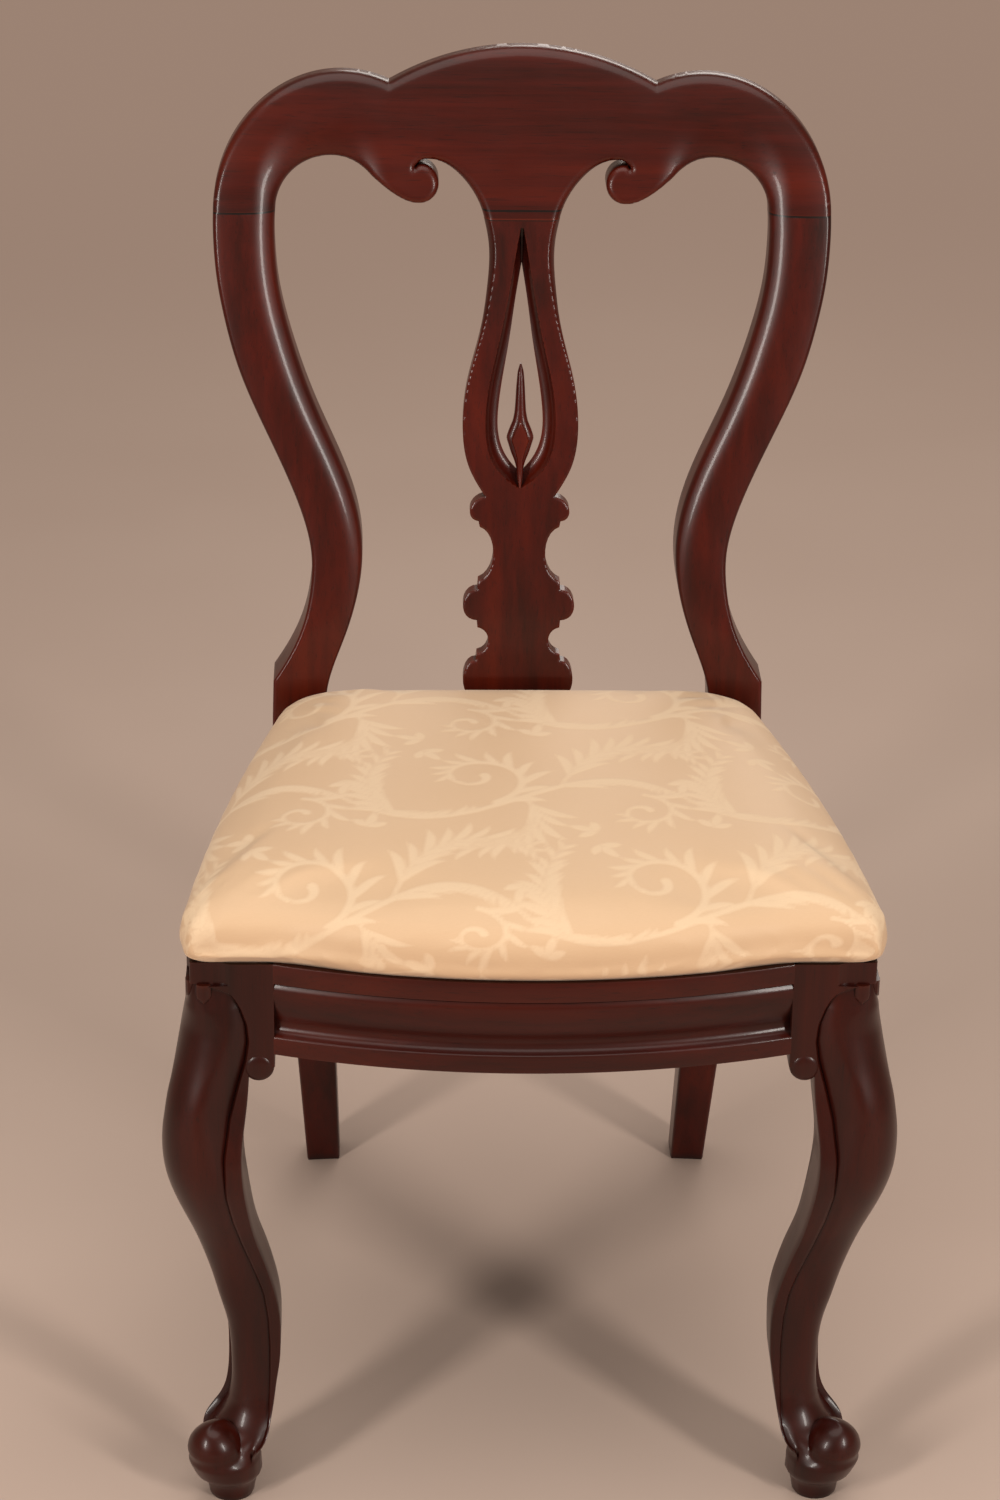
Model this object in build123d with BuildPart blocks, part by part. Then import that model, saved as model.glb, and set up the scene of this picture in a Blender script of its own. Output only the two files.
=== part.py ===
from build123d import *
import math
import os

# Balloon back dining chair: mahogany frame, pierced splat, cabriole front legs
# and a drop-in seat. Millimetres, +Z up, the sitter faces -Y, X = 0 is the plane
# of symmetry. The origin is on the floor under the middle of the chair's box.

# ------------------------------------------------------------------ seat rails
leg_face_y = -240.1        # front face of the front leg heads
front_width = 470.0        # across the outer faces of the two leg heads
head_size = 60.0           # square head of a front leg
seat_rail_top = 428.0
rail_height = 69.0
front_bow = 27.0           # how far the front rail bows out past the heads
front_rail_depth = 26.0
side_rail_depth = 24.0
side_bow = 5.0
rear_half_width = 183.0    # outer face of a side rail where it meets its post
fascia_height = 15.0       # plain band along the top of a rail
moulding_height = 36.0     # quirk, ovolo and cove below that band
moulding_depth = 7.0
ovolo_share = 0.62         # of the moulding's height, the rest is the cove
ovolo_bulge = 0.7          # how far the ovolo stands out past the rail's face
quirk_share = 0.6          # of the moulding's depth, the step under the plain band
cove_share = 0.8
cove_sag = 2.0
rail_overrun = 8.0         # how far a side rail runs on past the seat's well
seat_inner_depth = 379.5   # from the leg heads' face to the back of the seat well
rim = 9.0                  # wood left round the drop-in seat
rebate_depth = 14.0        # how deep the drop-in seat sits
well_corner = 8.0
back_rail_height = 60.0
back_rail_depth = 34.0
back_ledge = 12.0          # ledge of the back rail under the drop-in seat
back_tenon_length = 15.0
tenon_thickness = 10.0
tenon_length = 19.0
tenon_height = 40.0
tenon_shoulder = 9.0       # from the face of a rail to its tenon
rear_shoulder = 6.0        # the same where a side rail enters its post
back_shoulder = 5.0        # from the seat well to the back rail's tenon
tenon_lift = 6.0           # from the underside of a rail to its tenon
glue_gap = 0.1             # round tenons, dowels and screws

# ------------------------------------------------------------------ chair back
post_foot_depth = 30.0
post_rail_depth = 40.0
hoop_depth = 26.0          # thickness of the hoop at the post and crest joint
crest_top_depth = 22.0
back_radius = 1791.0       # plan curve of the back, concave to the sitter
back_set = 10.5            # front of the back behind the seat well, on X = 0
back_start_z = 471.0       # the back rakes from here up
back_slope = 0.134
back_curve = 0.000192
foot_sweep = 94.0          # how far the rear feet stand behind the posts
joint_z = 815.0            # post to crest joint
top_z = 928.0
round_outer = 9.0          # front edge of the hoop, round its outside
round_inner = 6.0          # front edge of the hoop, round its openings
round_back = 4.0
cusp_round = 3.0
dowel_radius = 4.0
dowel_length = 40.0
dowel_spacing = 20.0

shoulder_x = 135.0         # centre of the ellipse of a crest shoulder
shoulder_rx = 92.5
shoulder_rz = 96.0
cusp_x = 98.6              # where the middle arch meets a shoulder
lobe_x = 142.0             # centre of the ellipse of the opening under a shoulder
lobe_rx = 40.0
lobe_rz = 36.4
lobe_end_angle = 147.0
scroll_x = 75.5            # round scroll between the lobe and the neck
scroll_z = 833.5
scroll_radius = 13.8
notch_point = (79.0, 846.0)
notch_top = (71.0, 850.5)
neck_joint_z = 808.5       # crest to splat joint
neck_half = 28.0

# ----------------------------------------------------------------------- splat
splat_depth = 12.0
splat_foot_z = 452.0
splat_tenon = 10.0
splat_tenon_half = 18.0
splat_tenon_depth = 6.0
shoe_half_width = 62.0
shoe_depth = 19.0
shoe_taper = 4.0
shoe_round = 2.0
splat_waist = [(24.0, 781.0), (29.3, 732.0), (40.2, 689.0), (43.0, 663.0), (37.3, 627.5)]
splat_ears_top = (26.0, 608.0)
# each ear is an outward arc, with a step and a hollow down to the next one
ear_arcs = [
    [(38.9, 597.0), (30.7, 589.5)],
    [(43.0, 526.0), (31.4, 514.5)],
    [(42.5, 468.0), (32.0, splat_foot_z)],
]
hollow_arcs = [
    [(29.5, 585.3), (19.3, 566.0), (30.7, 544.2), (31.2, 538.2)],
    [(30.7, 509.1), (21.9, 500.0), (31.2, 488.8), (32.0, 483.8)],
]
drop_top_z = 806.0         # teardrop opening, at the front face
drop_bottom_z = 614.0
drop_side = [(5.7, 777.5), (16.0, 723.0), (25.5, 676.0), (22.5, 637.5)]
drop_back_top_z = 776.0    # and at the back face
drop_back_bottom_z = 622.0
drop_back_side = [(4.7, 748.0), (13.0, 695.0), (16.6, 656.0), (12.0, 637.0)]
spear_tip_z = 704.0
spear_side = [(3.9, 674.4), (10.5, 649.7), (4.2, 632.7), (4.2, 612.0)]
kite_side = [(6.7, 649.6), (2.2, 635.0), (1.9, 619.0)]
kite_top_z = 663.4
kite_raise = 2.0
drop_margin = 2.0
tenon_inset = (splat_depth - splat_tenon_depth) / 2

# ------------------------------------------------------------------ front legs
# height, how far the outer faces stand out past the head, and the leg's width
leg_sections = [
    (44.0, -12.0, 38.0),
    (66.0, -9.0, 42.0),
    (90.0, -16.0, 42.0),
    (120.0, -25.5, 37.5),
    (150.0, -26.8, 36.0),
    (180.0, -23.5, 35.0),
    (215.0, -12.5, 38.0),
    (250.0, 4.0, 45.0),
    (280.0, 15.0, 52.0),
    (305.0, 17.3, 55.0),
    (340.0, 12.0, 55.0),
    (380.0, 3.5, 52.0),
    (412.0, -2.0, 44.0),
]
leg_inner_round = 5.0
leg_outer_round = 0.36     # share of the width that rounds the outer corner
ear_radius = 11.0
ear_inset = 9.0            # scroll centre from the head's inner faces
ear_z = 349.0
ear_length = 26.0
toe_radius = 20.5          # the toe is a scroll whose axis lies across the diagonal
toe_length = 40.0
toe_z = 53.0
toe_inset = 22.5           # of its middle from the head's outer faces
toe_rim = 1.8              # raised rims on the ends of the scroll
toe_rim_width = 5.0
toe_eye_radius = 6.0
toe_eye_rise = 2.0
peg_inset = 28.0
peg_top_radius = 23.0
peg_top_z = 44.0
peg_foot_radius = 15.5

# ---------------------------------------------------------------- corner blocks
block_height = 34.0
block_drop = 4.0           # below the ledge of the rails
block_reach = 46.0
block_overlap = 5.0        # of a front block's end behind the front rail
front_block_end = 8.0      # thickness of a front block where its long face ends
rear_block_end = 4.0
screw_shares = (0.32, 0.60)  # of a block's long face, where its two screws enter
screw_radius = 2.0
screw_head_radius = 4.0
screw_head_height = 3.0
screw_length = 36.0
screw_sink = 2.0           # its head below the block's face

# ---------------------------------------------------------------- drop-in seat
seat_clearance = 1.5       # all round the covered seat in its well
cloth = 1.2
lining = 0.6
member_width = 45.0
member_thickness = 18.0
cover_turn = 26.0          # how far the cover is turned in under the seat
web_width = 50.0
web_thickness = 1.5
web_fold = 24.0
web_margin = 9.0           # from the seat frame's edge to the webs' ends
hessian_cover = 2.0        # how far the hessian reaches past the webs
webs_long = 4
webs_cross = 3
web_spacing = 76.0
crown_z = 482.0
crown_rise = [
    # share of the height above the rails, inset of the sides, inset of the back, corner
    (0.03, 10.5, 1.5, 8.0),
    (0.11, 4.5, 1.0, 16.0),
    (0.22, -1.0, 0.4, 20.0),
    (0.34, -4.5, 0.2, 24.0),
    (0.46, -5.0, 0.4, 28.0),
    (0.58, -3.0, 1.6, 32.0),
    (0.68, 1.5, 4.5, 36.0),
    (0.77, 8.5, 9.5, 38.0),
    (0.85, 20.0, 19.0, 40.0),
    (0.91, 36.0, 34.0, 42.0),
    (0.96, 58.0, 56.0, 44.0),
    (0.99, 86.0, 84.0, 46.0),
    (1.0, 112.0, 110.0, 34.0),
]

# -------------------------------------------------------------- derived values
half_front = front_width / 2
head_inner_x = half_front - head_size
head_back_y = leg_face_y + head_size
rail_bottom = seat_rail_top - rail_height
ledge_z = seat_rail_top - rebate_depth
well_back_y = leg_face_y + seat_inner_depth
back_start_y = well_back_y + back_set
axis_y = back_start_y - back_radius
tenon_z = rail_bottom + tenon_lift + tenon_height / 2
through = 600.0            # half length of a cut that passes through everything
plan_axis = Axis((0, axis_y, 0), (0, 0, 1))


def back_front_y(z):
    """Front surface of the chair back on the plane of symmetry."""
    rise = z - back_start_z
    return back_start_y + back_slope * rise + back_curve * rise**2


def back_tangent(z):
    """Direction of the back's front surface at a height, pointing up."""
    return Vector(0, back_slope + 2 * back_curve * (z - back_start_z), 1).normalized()


def radius_at(z, behind=0.0):
    return back_front_y(z) - axis_y + behind


def upright_plane(x, y, direction):
    """Upright plane through a point: local X is the given direction, Y is up."""
    dx, dy = direction
    return Plane(origin=(x, y, 0), x_dir=(dx, dy, 0), z_dir=(dy, -dx, 0))


def radial_plane(degrees):
    """Upright plane through the back's plan axis: local X is the radius, Y is up."""
    a = math.radians(degrees)
    return upright_plane(0, axis_y, (math.sin(a), math.cos(a)))


def back_curve_line(z0, z1, behind0, behind1):
    """The curve of the back's side section, a fixed or tapering distance behind its front."""
    slope = back_slope + 2 * back_curve * (z0 - back_start_z)
    slope += (behind1 - behind0) / (z1 - z0)
    start = (radius_at(z0, behind0), z0)
    middle = (start[0] + slope * (z1 - z0) / 2, (z0 + z1) / 2)
    end = (radius_at(z1, behind1), z1)
    return Bezier(start, middle, end)


def side_section(z0, z1, front, depth0, depth1):
    """Outline of the side section of a piece of the back between two heights."""
    face = back_curve_line(z0, z1, front, front)
    rear = back_curve_line(z0, z1, front + depth0, front + depth1)
    Line(face @ 0, rear @ 0)
    Line(face @ 1, rear @ 1)


# ------------------------------------------------------------------ rear posts
post_outer = [
    (shoulder_x + shoulder_rx, joint_z),
    (220.0, 742.0),
    (189.7, 658.0),
    (161.0, 590.0),
    (155.6, 553.0),
    (162.0, 513.0),
    (184.5, back_start_z),
]
post_inner = [
    (lobe_x + lobe_rx, joint_z),
    (180.0, 765.0),
    (151.5, 672.0),
    (122.3, 600.0),
    (117.5, 563.0),
    (130.5, 503.0),
    (145.0, seat_rail_top),
]
post_outer_x = post_outer[-1][0]
post_inner_x = post_inner[-1][0]
foot_outer_x = 163.0
foot_inner_x = 136.5
knee_drop = 6.0
leg_knee_z = rail_bottom - knee_drop   # the rear leg sweeps back below this height
leg_bend = 25.0
sweep_share = 0.66         # of the sweep that is reached at the bend's height
sweep_z = 140.0
post_arc_out = 8.5         # degrees on the plan curve that a post lies between
post_arc_in = 3.0
seat_r = radius_at(back_start_z)
long_edge = (joint_z - back_start_z) * 0.7
post_taper = post_rail_depth - post_foot_depth


def swept_edge(start, sweep, taper):
    """Edge of a rear leg's side section, from its knee down and back to the floor."""
    return Bezier(
        (start, leg_knee_z),
        (start, leg_knee_z - leg_bend),
        (start + sweep * sweep_share - taper * sweep_share, sweep_z),
        (start + sweep - taper, 0),
    )


with BuildPart() as rear_post_right:
    with BuildSketch(radial_plane(post_arc_out)):
        with BuildLine():
            side_section(back_start_z, joint_z, 0, post_rail_depth, hoop_depth)
        make_face()
    revolve(axis=plan_axis, revolution_arc=post_arc_out - post_arc_in)
    with BuildSketch(Plane.XZ):
        with BuildLine():
            Spline(*post_outer, tangents=((0, -1), (0.62, -0.78)))
            Spline(*post_inner, tangents=((0, -1), (0, -1)))
            Line(post_outer[0], post_inner[0])
            Line(post_outer[-1], (post_outer_x, seat_rail_top))
            Line((post_outer_x, seat_rail_top), post_inner[-1])
        make_face()
    extrude(amount=through, both=True, mode=Mode.INTERSECT)
    long_edges = rear_post_right.edges().filter_by(lambda e: e.length > long_edge)
    inner_edge, outer_edge = long_edges.sort_by(Axis.Y)[:2].sort_by(Axis.X)
    fillet(outer_edge, radius=round_outer)
    fillet(inner_edge, radius=round_inner)
    back_edges = rear_post_right.edges().filter_by(lambda e: e.length > long_edge)
    fillet(back_edges.sort_by(Axis.Y)[-2:], radius=round_back)
    # the square leg below, which sweeps back to its foot
    with BuildSketch(radial_plane(post_arc_out)) as leg_side:
        with BuildLine():
            face = swept_edge(seat_r, foot_sweep, 0)
            rear = swept_edge(seat_r + post_rail_depth, foot_sweep, post_taper)
            Line(face @ 1, rear @ 1)
            Polyline(
                face @ 0, (seat_r, back_start_z),
                (seat_r + post_rail_depth, back_start_z), rear @ 0,
            )
        make_face()
    rear_leg = revolve(
        axis=plan_axis, revolution_arc=post_arc_out - post_arc_in, mode=Mode.PRIVATE
    )
    with BuildSketch(Plane.XZ) as leg_front:
        with BuildLine():
            inner = Spline(*post_inner, tangents=((0, -1), (0, -1)))
            Polyline(
                post_inner[-1],
                (post_inner_x, rail_bottom),
                (foot_inner_x, 0),
                (foot_outer_x, 0),
                (post_outer_x, rail_bottom),
                (post_outer_x, back_start_z),
                (post_inner[0][0], back_start_z),
                post_inner[0],
            )
        make_face()
    leg_block = extrude(amount=through, both=True, mode=Mode.PRIVATE)
    add(rear_leg & leg_block)

# ------------------------------------------------------------------ crest rail
crest_arc = 8.5


def ellipse_z(x, centre_x, rx, rz):
    return joint_z + rz * math.sqrt(1 - ((x - centre_x) / rx) ** 2)


cusp = (cusp_x, ellipse_z(cusp_x, shoulder_x, shoulder_rx, shoulder_rz))
cusp_angle = math.degrees(
    math.atan2((cusp[1] - joint_z) / shoulder_rz, (cusp_x - shoulder_x) / shoulder_rx)
)

with BuildPart() as crest_rail:
    with BuildSketch(Plane.XZ):
        with BuildLine():
            shoulder = (shoulder_x, joint_z)
            EllipticalCenterArc(shoulder, shoulder_rx, shoulder_rz, arc_size=cusp_angle)
            arch_radius = (cusp_x**2 + (top_z - cusp[1]) ** 2) / (2 * (top_z - cusp[1]))
            RadiusArc(cusp, (0, top_z), -arch_radius)
            lobe = EllipticalCenterArc(
                (lobe_x, joint_z), lobe_rx, lobe_rz, arc_size=lobe_end_angle
            )
            scroll_bottom = (scroll_x, scroll_z - scroll_radius)
            Spline(lobe @ 1, scroll_bottom, tangents=(lobe % 1, (-1, 0)))
            scroll_top = (scroll_x - 1, scroll_z + scroll_radius)
            ThreePointArc(scroll_bottom, (scroll_x - scroll_radius, scroll_z), scroll_top)
            Line(scroll_top, notch_point)
            Line(notch_point, notch_top)
            Bezier(notch_top, (51, notch_top[1]), (neck_half + 5, 828), (neck_half, neck_joint_z))
            Line((neck_half, neck_joint_z), (0, neck_joint_z))
            Line((0, neck_joint_z), (0, top_z))
            Line((post_inner[0][0], joint_z), (post_outer[0][0], joint_z))
        make_face()
        mirror(about=Plane.YZ)
    extrude(amount=through, both=True)
    with BuildSketch(radial_plane(crest_arc)):
        with BuildLine():
            side_section(neck_joint_z, top_z + 1, 0, hoop_depth, crest_top_depth)
        make_face()
    revolve(axis=plan_axis, revolution_arc=2 * crest_arc, mode=Mode.INTERSECT)
    cusp_edges = crest_rail.edges().filter_by(
        lambda e: e.center().Z > cusp[1] - 1 and abs(abs(e.center().X) - cusp_x) < 1
    )
    fillet(cusp_edges.filter_by(lambda e: e.length < hoop_depth), radius=cusp_round)
    above = (cusp[1] + lobe_rz + joint_z) / 2
    faces = crest_rail.faces().sort_by(SortBy.AREA)[-2:].sort_by(Axis.Y)
    fillet(faces[0].edges().filter_by(lambda e: e.center().Z > above), radius=round_outer)
    faces = crest_rail.faces().sort_by(SortBy.AREA)[-2:].sort_by(Axis.Y)
    fillet(
        faces[0].edges().filter_by(lambda e: joint_z + 1 < e.center().Z < above),
        radius=round_inner,
    )
    faces = crest_rail.faces().sort_by(SortBy.AREA)[-2:].sort_by(Axis.Y)
    fillet(faces[1].edges().filter_by(lambda e: e.center().Z > joint_z + 1), radius=round_back)

# ----------------------------------------------------------------------- splat
splat_arc = 2.0


def drop_outline(plane_z, lean, top_z, side, bottom_z):
    """Pointed teardrop on a leaning plane, from points down its right side."""
    right = [(x, (z - plane_z) / lean) for x, z in side]
    left = [(-x, z) for x, z in right]
    top = (0, (top_z - plane_z) / lean)
    bottom = (0, (bottom_z - plane_z) / lean)
    Spline(top, *right, bottom, tangents=((0.06, -1), (-1, 0)))
    Spline(top, *left, bottom, tangents=((-0.06, -1), (1, 0)))


def back_plane(z, behind):
    """Plane that leans with the back at a height and faces the sitter."""
    up = back_tangent(z)
    return Plane(
        origin=(0, back_front_y(z) + behind, z),
        x_dir=(1, 0, 0),
        z_dir=(0, -up.Z, up.Y),
    )


with BuildPart() as splat:
    with BuildSketch(radial_plane(splat_arc)):
        with BuildLine():
            side_section(splat_foot_z - splat_tenon, neck_joint_z, 0, splat_depth, splat_depth)
        make_face()
    slab = revolve(axis=plan_axis, revolution_arc=2 * splat_arc)
    with BuildSketch(Plane.XZ):
        with BuildLine():
            Line((0, neck_joint_z), (neck_half, neck_joint_z))
            Spline(
                (neck_half, neck_joint_z), *splat_waist, splat_ears_top,
                tangents=((-0.25, -1), (-0.55, -1)),
            )
            end = splat_ears_top
            for number, (crown, tail) in enumerate(ear_arcs):
                ThreePointArc(end, crown, tail)
                end = tail
                if number < len(hollow_arcs):
                    step, hollow, rise, start = hollow_arcs[number]
                    Line(end, step)
                    ThreePointArc(step, hollow, rise)
                    Line(rise, start)
                    end = start
            Polyline(
                end, (end[0], splat_foot_z - splat_tenon), (0, splat_foot_z - splat_tenon),
                (0, neck_joint_z),
            )
        make_face()
        mirror(about=Plane.YZ)
    extrude(amount=through, both=True, mode=Mode.INTERSECT)
    # teardrop opening, narrower at the back, so that its edge is a broad hollow
    drop_mid_z = (drop_top_z + drop_bottom_z) / 2
    drop_lean = back_tangent(drop_mid_z).Z
    with BuildSketch(back_plane(drop_mid_z, -drop_margin)):
        with BuildLine():
            drop_outline(drop_mid_z, drop_lean, drop_top_z, drop_side, drop_bottom_z)
        make_face()
    with BuildSketch(back_plane(drop_mid_z, splat_depth + drop_margin)):
        with BuildLine():
            drop_outline(
                drop_mid_z, drop_lean, drop_back_top_z, drop_back_side, drop_back_bottom_z
            )
        make_face()
    loft(mode=Mode.SUBTRACT)
    # spear that stands in the opening, with a raised kite on its front
    with BuildSketch(Plane.XZ):
        with BuildLine():
            Polyline((0, spear_tip_z), *spear_side, (0, spear_side[-1][1]), close=True)
        make_face()
        mirror(about=Plane.YZ)
    spear = extrude(amount=through, both=True, mode=Mode.PRIVATE)
    add(spear & slab)
    with BuildSketch(back_plane(kite_side[0][1], -kite_raise)):
        kite_z = kite_side[0][1]
        with BuildLine():
            kite = [(x, (z - kite_z) / drop_lean) for x, z in kite_side]
            Polyline(
                (0, (kite_top_z - kite_z) / drop_lean), *kite, (0, kite[-1][1]), close=True
            )
        make_face()
        mirror(about=Plane.YZ)
    extrude(amount=-2 * kite_raise, taper=-8)
    # tenon up into the crest
    with BuildSketch(back_plane(neck_joint_z, tenon_inset)):
        Rectangle(2 * splat_tenon_half, 2 * splat_tenon)
    extrude(amount=-splat_tenon_depth)

with BuildPart() as crest_socket:
    with BuildSketch(back_plane(neck_joint_z, tenon_inset - glue_gap)):
        Rectangle(2 * (splat_tenon_half + glue_gap), 2 * (splat_tenon + glue_gap))
    extrude(amount=-splat_tenon_depth - 2 * glue_gap)

# --------------------------------------------------- dowels of the crest joints
dowel_mid_x = (post_outer[0][0] + post_inner[0][0]) / 2
dowel_places = [(-dowel_spacing / 2, 0), (dowel_spacing / 2, 0)]


def dowel_plane(side, shift):
    """Plane across the dowels of one joint: side is 1 for the right, -1 for the left."""
    middle = radius_at(joint_z, hoop_depth / 2)
    depth = math.sqrt(middle**2 - dowel_mid_x**2)
    up = back_tangent(joint_z)
    origin = Vector(side * dowel_mid_x, axis_y + depth, joint_z) + up * shift
    return Plane(origin=origin, x_dir=(1, 0, 0), z_dir=up)


def dowel_pair(side, gap):
    """Two dowels of a crest joint, or with a gap the holes that they sit in."""
    length = dowel_length + 2 * gap
    with BuildPart() as pair:
        with BuildSketch(dowel_plane(side, -length / 2)):
            with Locations(*dowel_places):
                Circle(dowel_radius + gap)
        extrude(amount=length)
    return pair


crest_dowels_right = dowel_pair(1, 0)
crest_dowels_left = dowel_pair(-1, 0)

with BuildPart(mode=Mode.PRIVATE) as dowel_holes:
    add(dowel_pair(1, glue_gap).part)
    add(dowel_pair(-1, glue_gap).part)

# ------------------------------------------------------------- plan of the seat
side_slope = (rear_half_width - half_front) / seat_inner_depth
bow_radius = (head_inner_x**2 + front_bow**2) / (2 * front_bow)
bow_y = leg_face_y - front_bow + bow_radius
bow_narrowing = 1.3        # how fast the bowed stretch narrows towards the crown
cover_inset = rim + seat_clearance


def plan_lines(inset, back_inset):
    """Plan of the seat, a distance inside the rails' outer faces."""
    front_y = leg_face_y + inset
    back_y = well_back_y - back_inset
    front_x = half_front - inset + side_slope * inset
    back_x = rear_half_width - inset - side_slope * back_inset
    middle_x = (front_x + back_x) / 2 + side_bow
    middle_y = (front_y + back_y) / 2
    joint_x = head_inner_x - bow_narrowing * max(0, inset - cover_inset)
    bow = bow_radius - math.sqrt(bow_radius**2 - joint_x**2)
    ThreePointArc((-joint_x, front_y), (0, front_y - bow), (joint_x, front_y))
    Line((joint_x, front_y), (front_x, front_y))
    ThreePointArc((front_x, front_y), (middle_x, middle_y), (back_x, back_y))
    Line((back_x, back_y), (-back_x, back_y))
    ThreePointArc((-back_x, back_y), (-middle_x, middle_y), (-front_x, front_y))
    Line((-front_x, front_y), (-joint_x, front_y))


def plan_corners(sketch):
    """The four outer corners of a seat plan."""
    by_depth = sketch.vertices().group_by(Axis.Y)
    return by_depth[-1] + by_depth[0].sort_by(Axis.X)[:1] + by_depth[0].sort_by(Axis.X)[-1:]


def seat_slab(inset, back_inset, corner, bottom, top):
    """Upright solid with the seat's plan between two heights."""
    with BuildPart() as solid:
        with BuildSketch(Plane.XY.offset(bottom)) as plan:
            with BuildLine():
                plan_lines(inset, back_inset)
            make_face()
            if corner:
                fillet(plan_corners(plan), radius=corner)
        extrude(amount=top - bottom)
    return solid.part


well = seat_slab(rim, 0, well_corner, ledge_z, top_z)

# ------------------------------------------------------------------- seat rails


def rail_section(face, depth):
    """Moulded section of a rail: plain band, ovolo, cove and lower band."""
    band = seat_rail_top - fascia_height
    ovolo_end = band - ovolo_share * moulding_height
    cove_end = band - moulding_height
    quirk = face - quirk_share * moulding_depth
    ovolo_crown = face + ovolo_bulge
    cove_hollow = face - cove_share * moulding_depth
    Polyline(
        (face, cove_end), (face, rail_bottom), (face - depth, rail_bottom),
        (face - depth, seat_rail_top), (face, seat_rail_top), (face, band), (quirk, band),
    )
    ThreePointArc(
        (quirk, band), (ovolo_crown, (band + ovolo_end) / 2),
        (face - moulding_depth, ovolo_end),
    )
    ThreePointArc(
        (face - moulding_depth, ovolo_end),
        (cove_hollow, (ovolo_end + cove_end) / 2 - cove_sag), (face, cove_end),
    )


front_half_arc = math.asin(head_inner_x / bow_radius) + math.radians(2)
front_tenon_y = leg_face_y + tenon_shoulder + tenon_thickness / 2
front_start = (-math.sin(front_half_arc), -math.cos(front_half_arc))


def end_tenon(x, y, length_x, length_y, gap):
    """Tenon of a seat rail, or with a gap the mortise for it."""
    with BuildPart() as tenon:
        with Locations((x, y, tenon_z)):
            Box(length_x + 2 * gap, length_y + 2 * gap, tenon_height + 2 * gap)
    return tenon.part


with BuildPart() as front_rail:
    with BuildSketch(upright_plane(0, bow_y, front_start)):
        with BuildLine():
            rail_section(bow_radius, front_rail_depth)
        make_face()
    revolve(
        axis=Axis((0, bow_y, 0), (0, 0, 1)),
        revolution_arc=2 * math.degrees(front_half_arc),
    )
    Box(2 * head_inner_x, 4 * half_front, 4 * seat_rail_top, mode=Mode.INTERSECT)
    add(well, mode=Mode.SUBTRACT)
    front_tenons = 2 * (head_inner_x + tenon_length)
    add(end_tenon(0, front_tenon_y, front_tenons, tenon_thickness, 0) - Box(
        2 * head_inner_x, 4 * half_front, 4 * seat_rail_top, mode=Mode.PRIVATE
    ))

# side rails: the bow of the outer face is an arc from the head to the post
chord_x = half_front + side_slope * head_size - rear_half_width
chord_y = well_back_y - head_back_y
chord = math.hypot(chord_x, chord_y)
side_radius = ((chord / 2) ** 2 + side_bow**2) / (2 * side_bow)
outward = (chord_y / chord, chord_x / chord)
chord_mid = (
    rear_half_width + chord_x / 2,
    (well_back_y + head_back_y) / 2,
)
side_axis_x = chord_mid[0] - outward[0] * (side_radius - side_bow)
side_axis_y = chord_mid[1] - outward[1] * (side_radius - side_bow)
side_half_arc = math.asin(chord / 2 / side_radius) + math.radians(1)
side_start_angle = math.atan2(outward[1], outward[0]) - side_half_arc
side_start = (math.cos(side_start_angle), math.sin(side_start_angle))
front_side_tenon_x = half_front + side_slope * head_size - tenon_shoulder - tenon_thickness / 2
rear_side_tenon_x = rear_half_width - rear_shoulder - tenon_thickness / 2
post_face_y = axis_y + math.sqrt(seat_r**2 - rear_side_tenon_x**2)

with BuildPart() as side_rail_right:
    with BuildSketch(upright_plane(side_axis_x, side_axis_y, side_start)):
        with BuildLine():
            rail_section(side_radius, side_rail_depth)
        make_face()
    revolve(
        axis=Axis((side_axis_x, side_axis_y, 0), (0, 0, 1)),
        revolution_arc=2 * math.degrees(side_half_arc),
    )
    rail_end_y = well_back_y + rail_overrun
    with Locations((half_front, (head_back_y + rail_end_y) / 2, seat_rail_top)):
        Box(half_front, rail_end_y - head_back_y, 4 * seat_rail_top, mode=Mode.INTERSECT)
    add(well, mode=Mode.SUBTRACT)
    add(rear_post_right.part, mode=Mode.SUBTRACT)
    add(end_tenon(front_side_tenon_x, head_back_y, tenon_thickness, 2 * tenon_length, 0))
    add(end_tenon(rear_side_tenon_x, post_face_y, tenon_thickness, 2 * tenon_length, 0))

# back rail: a lip behind the seat's well, and a ledge in front of it
back_rail_y = well_back_y - back_ledge
back_tenon_y = well_back_y + back_shoulder + tenon_thickness / 2
back_tenon_half = post_inner_x + back_tenon_length
with BuildPart() as back_rail:
    middle_y = back_rail_y + back_rail_depth / 2
    with Locations((0, middle_y, seat_rail_top - back_rail_height / 2)):
        Box(2 * post_inner_x, back_rail_depth, back_rail_height)
    add(well, mode=Mode.SUBTRACT)
    add(end_tenon(0, back_tenon_y, 2 * back_tenon_half, tenon_thickness, 0))

# ------------------------------------------------------------------ splat shoe
shoe_mid_y = back_front_y(splat_foot_z) + splat_depth / 2
with BuildPart() as splat_shoe:
    with BuildSketch(Plane.XY.offset(seat_rail_top)):
        with Locations((0, shoe_mid_y)):
            Rectangle(2 * shoe_half_width, shoe_depth)
    extrude(amount=splat_foot_z - seat_rail_top, taper=shoe_taper)
    fillet(splat_shoe.edges().group_by(Axis.Z)[-1], radius=shoe_round)
    add(splat.part, mode=Mode.SUBTRACT)

# ------------------------------------------------------------------ front legs
corner_x = half_front
corner_y = leg_face_y


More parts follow.
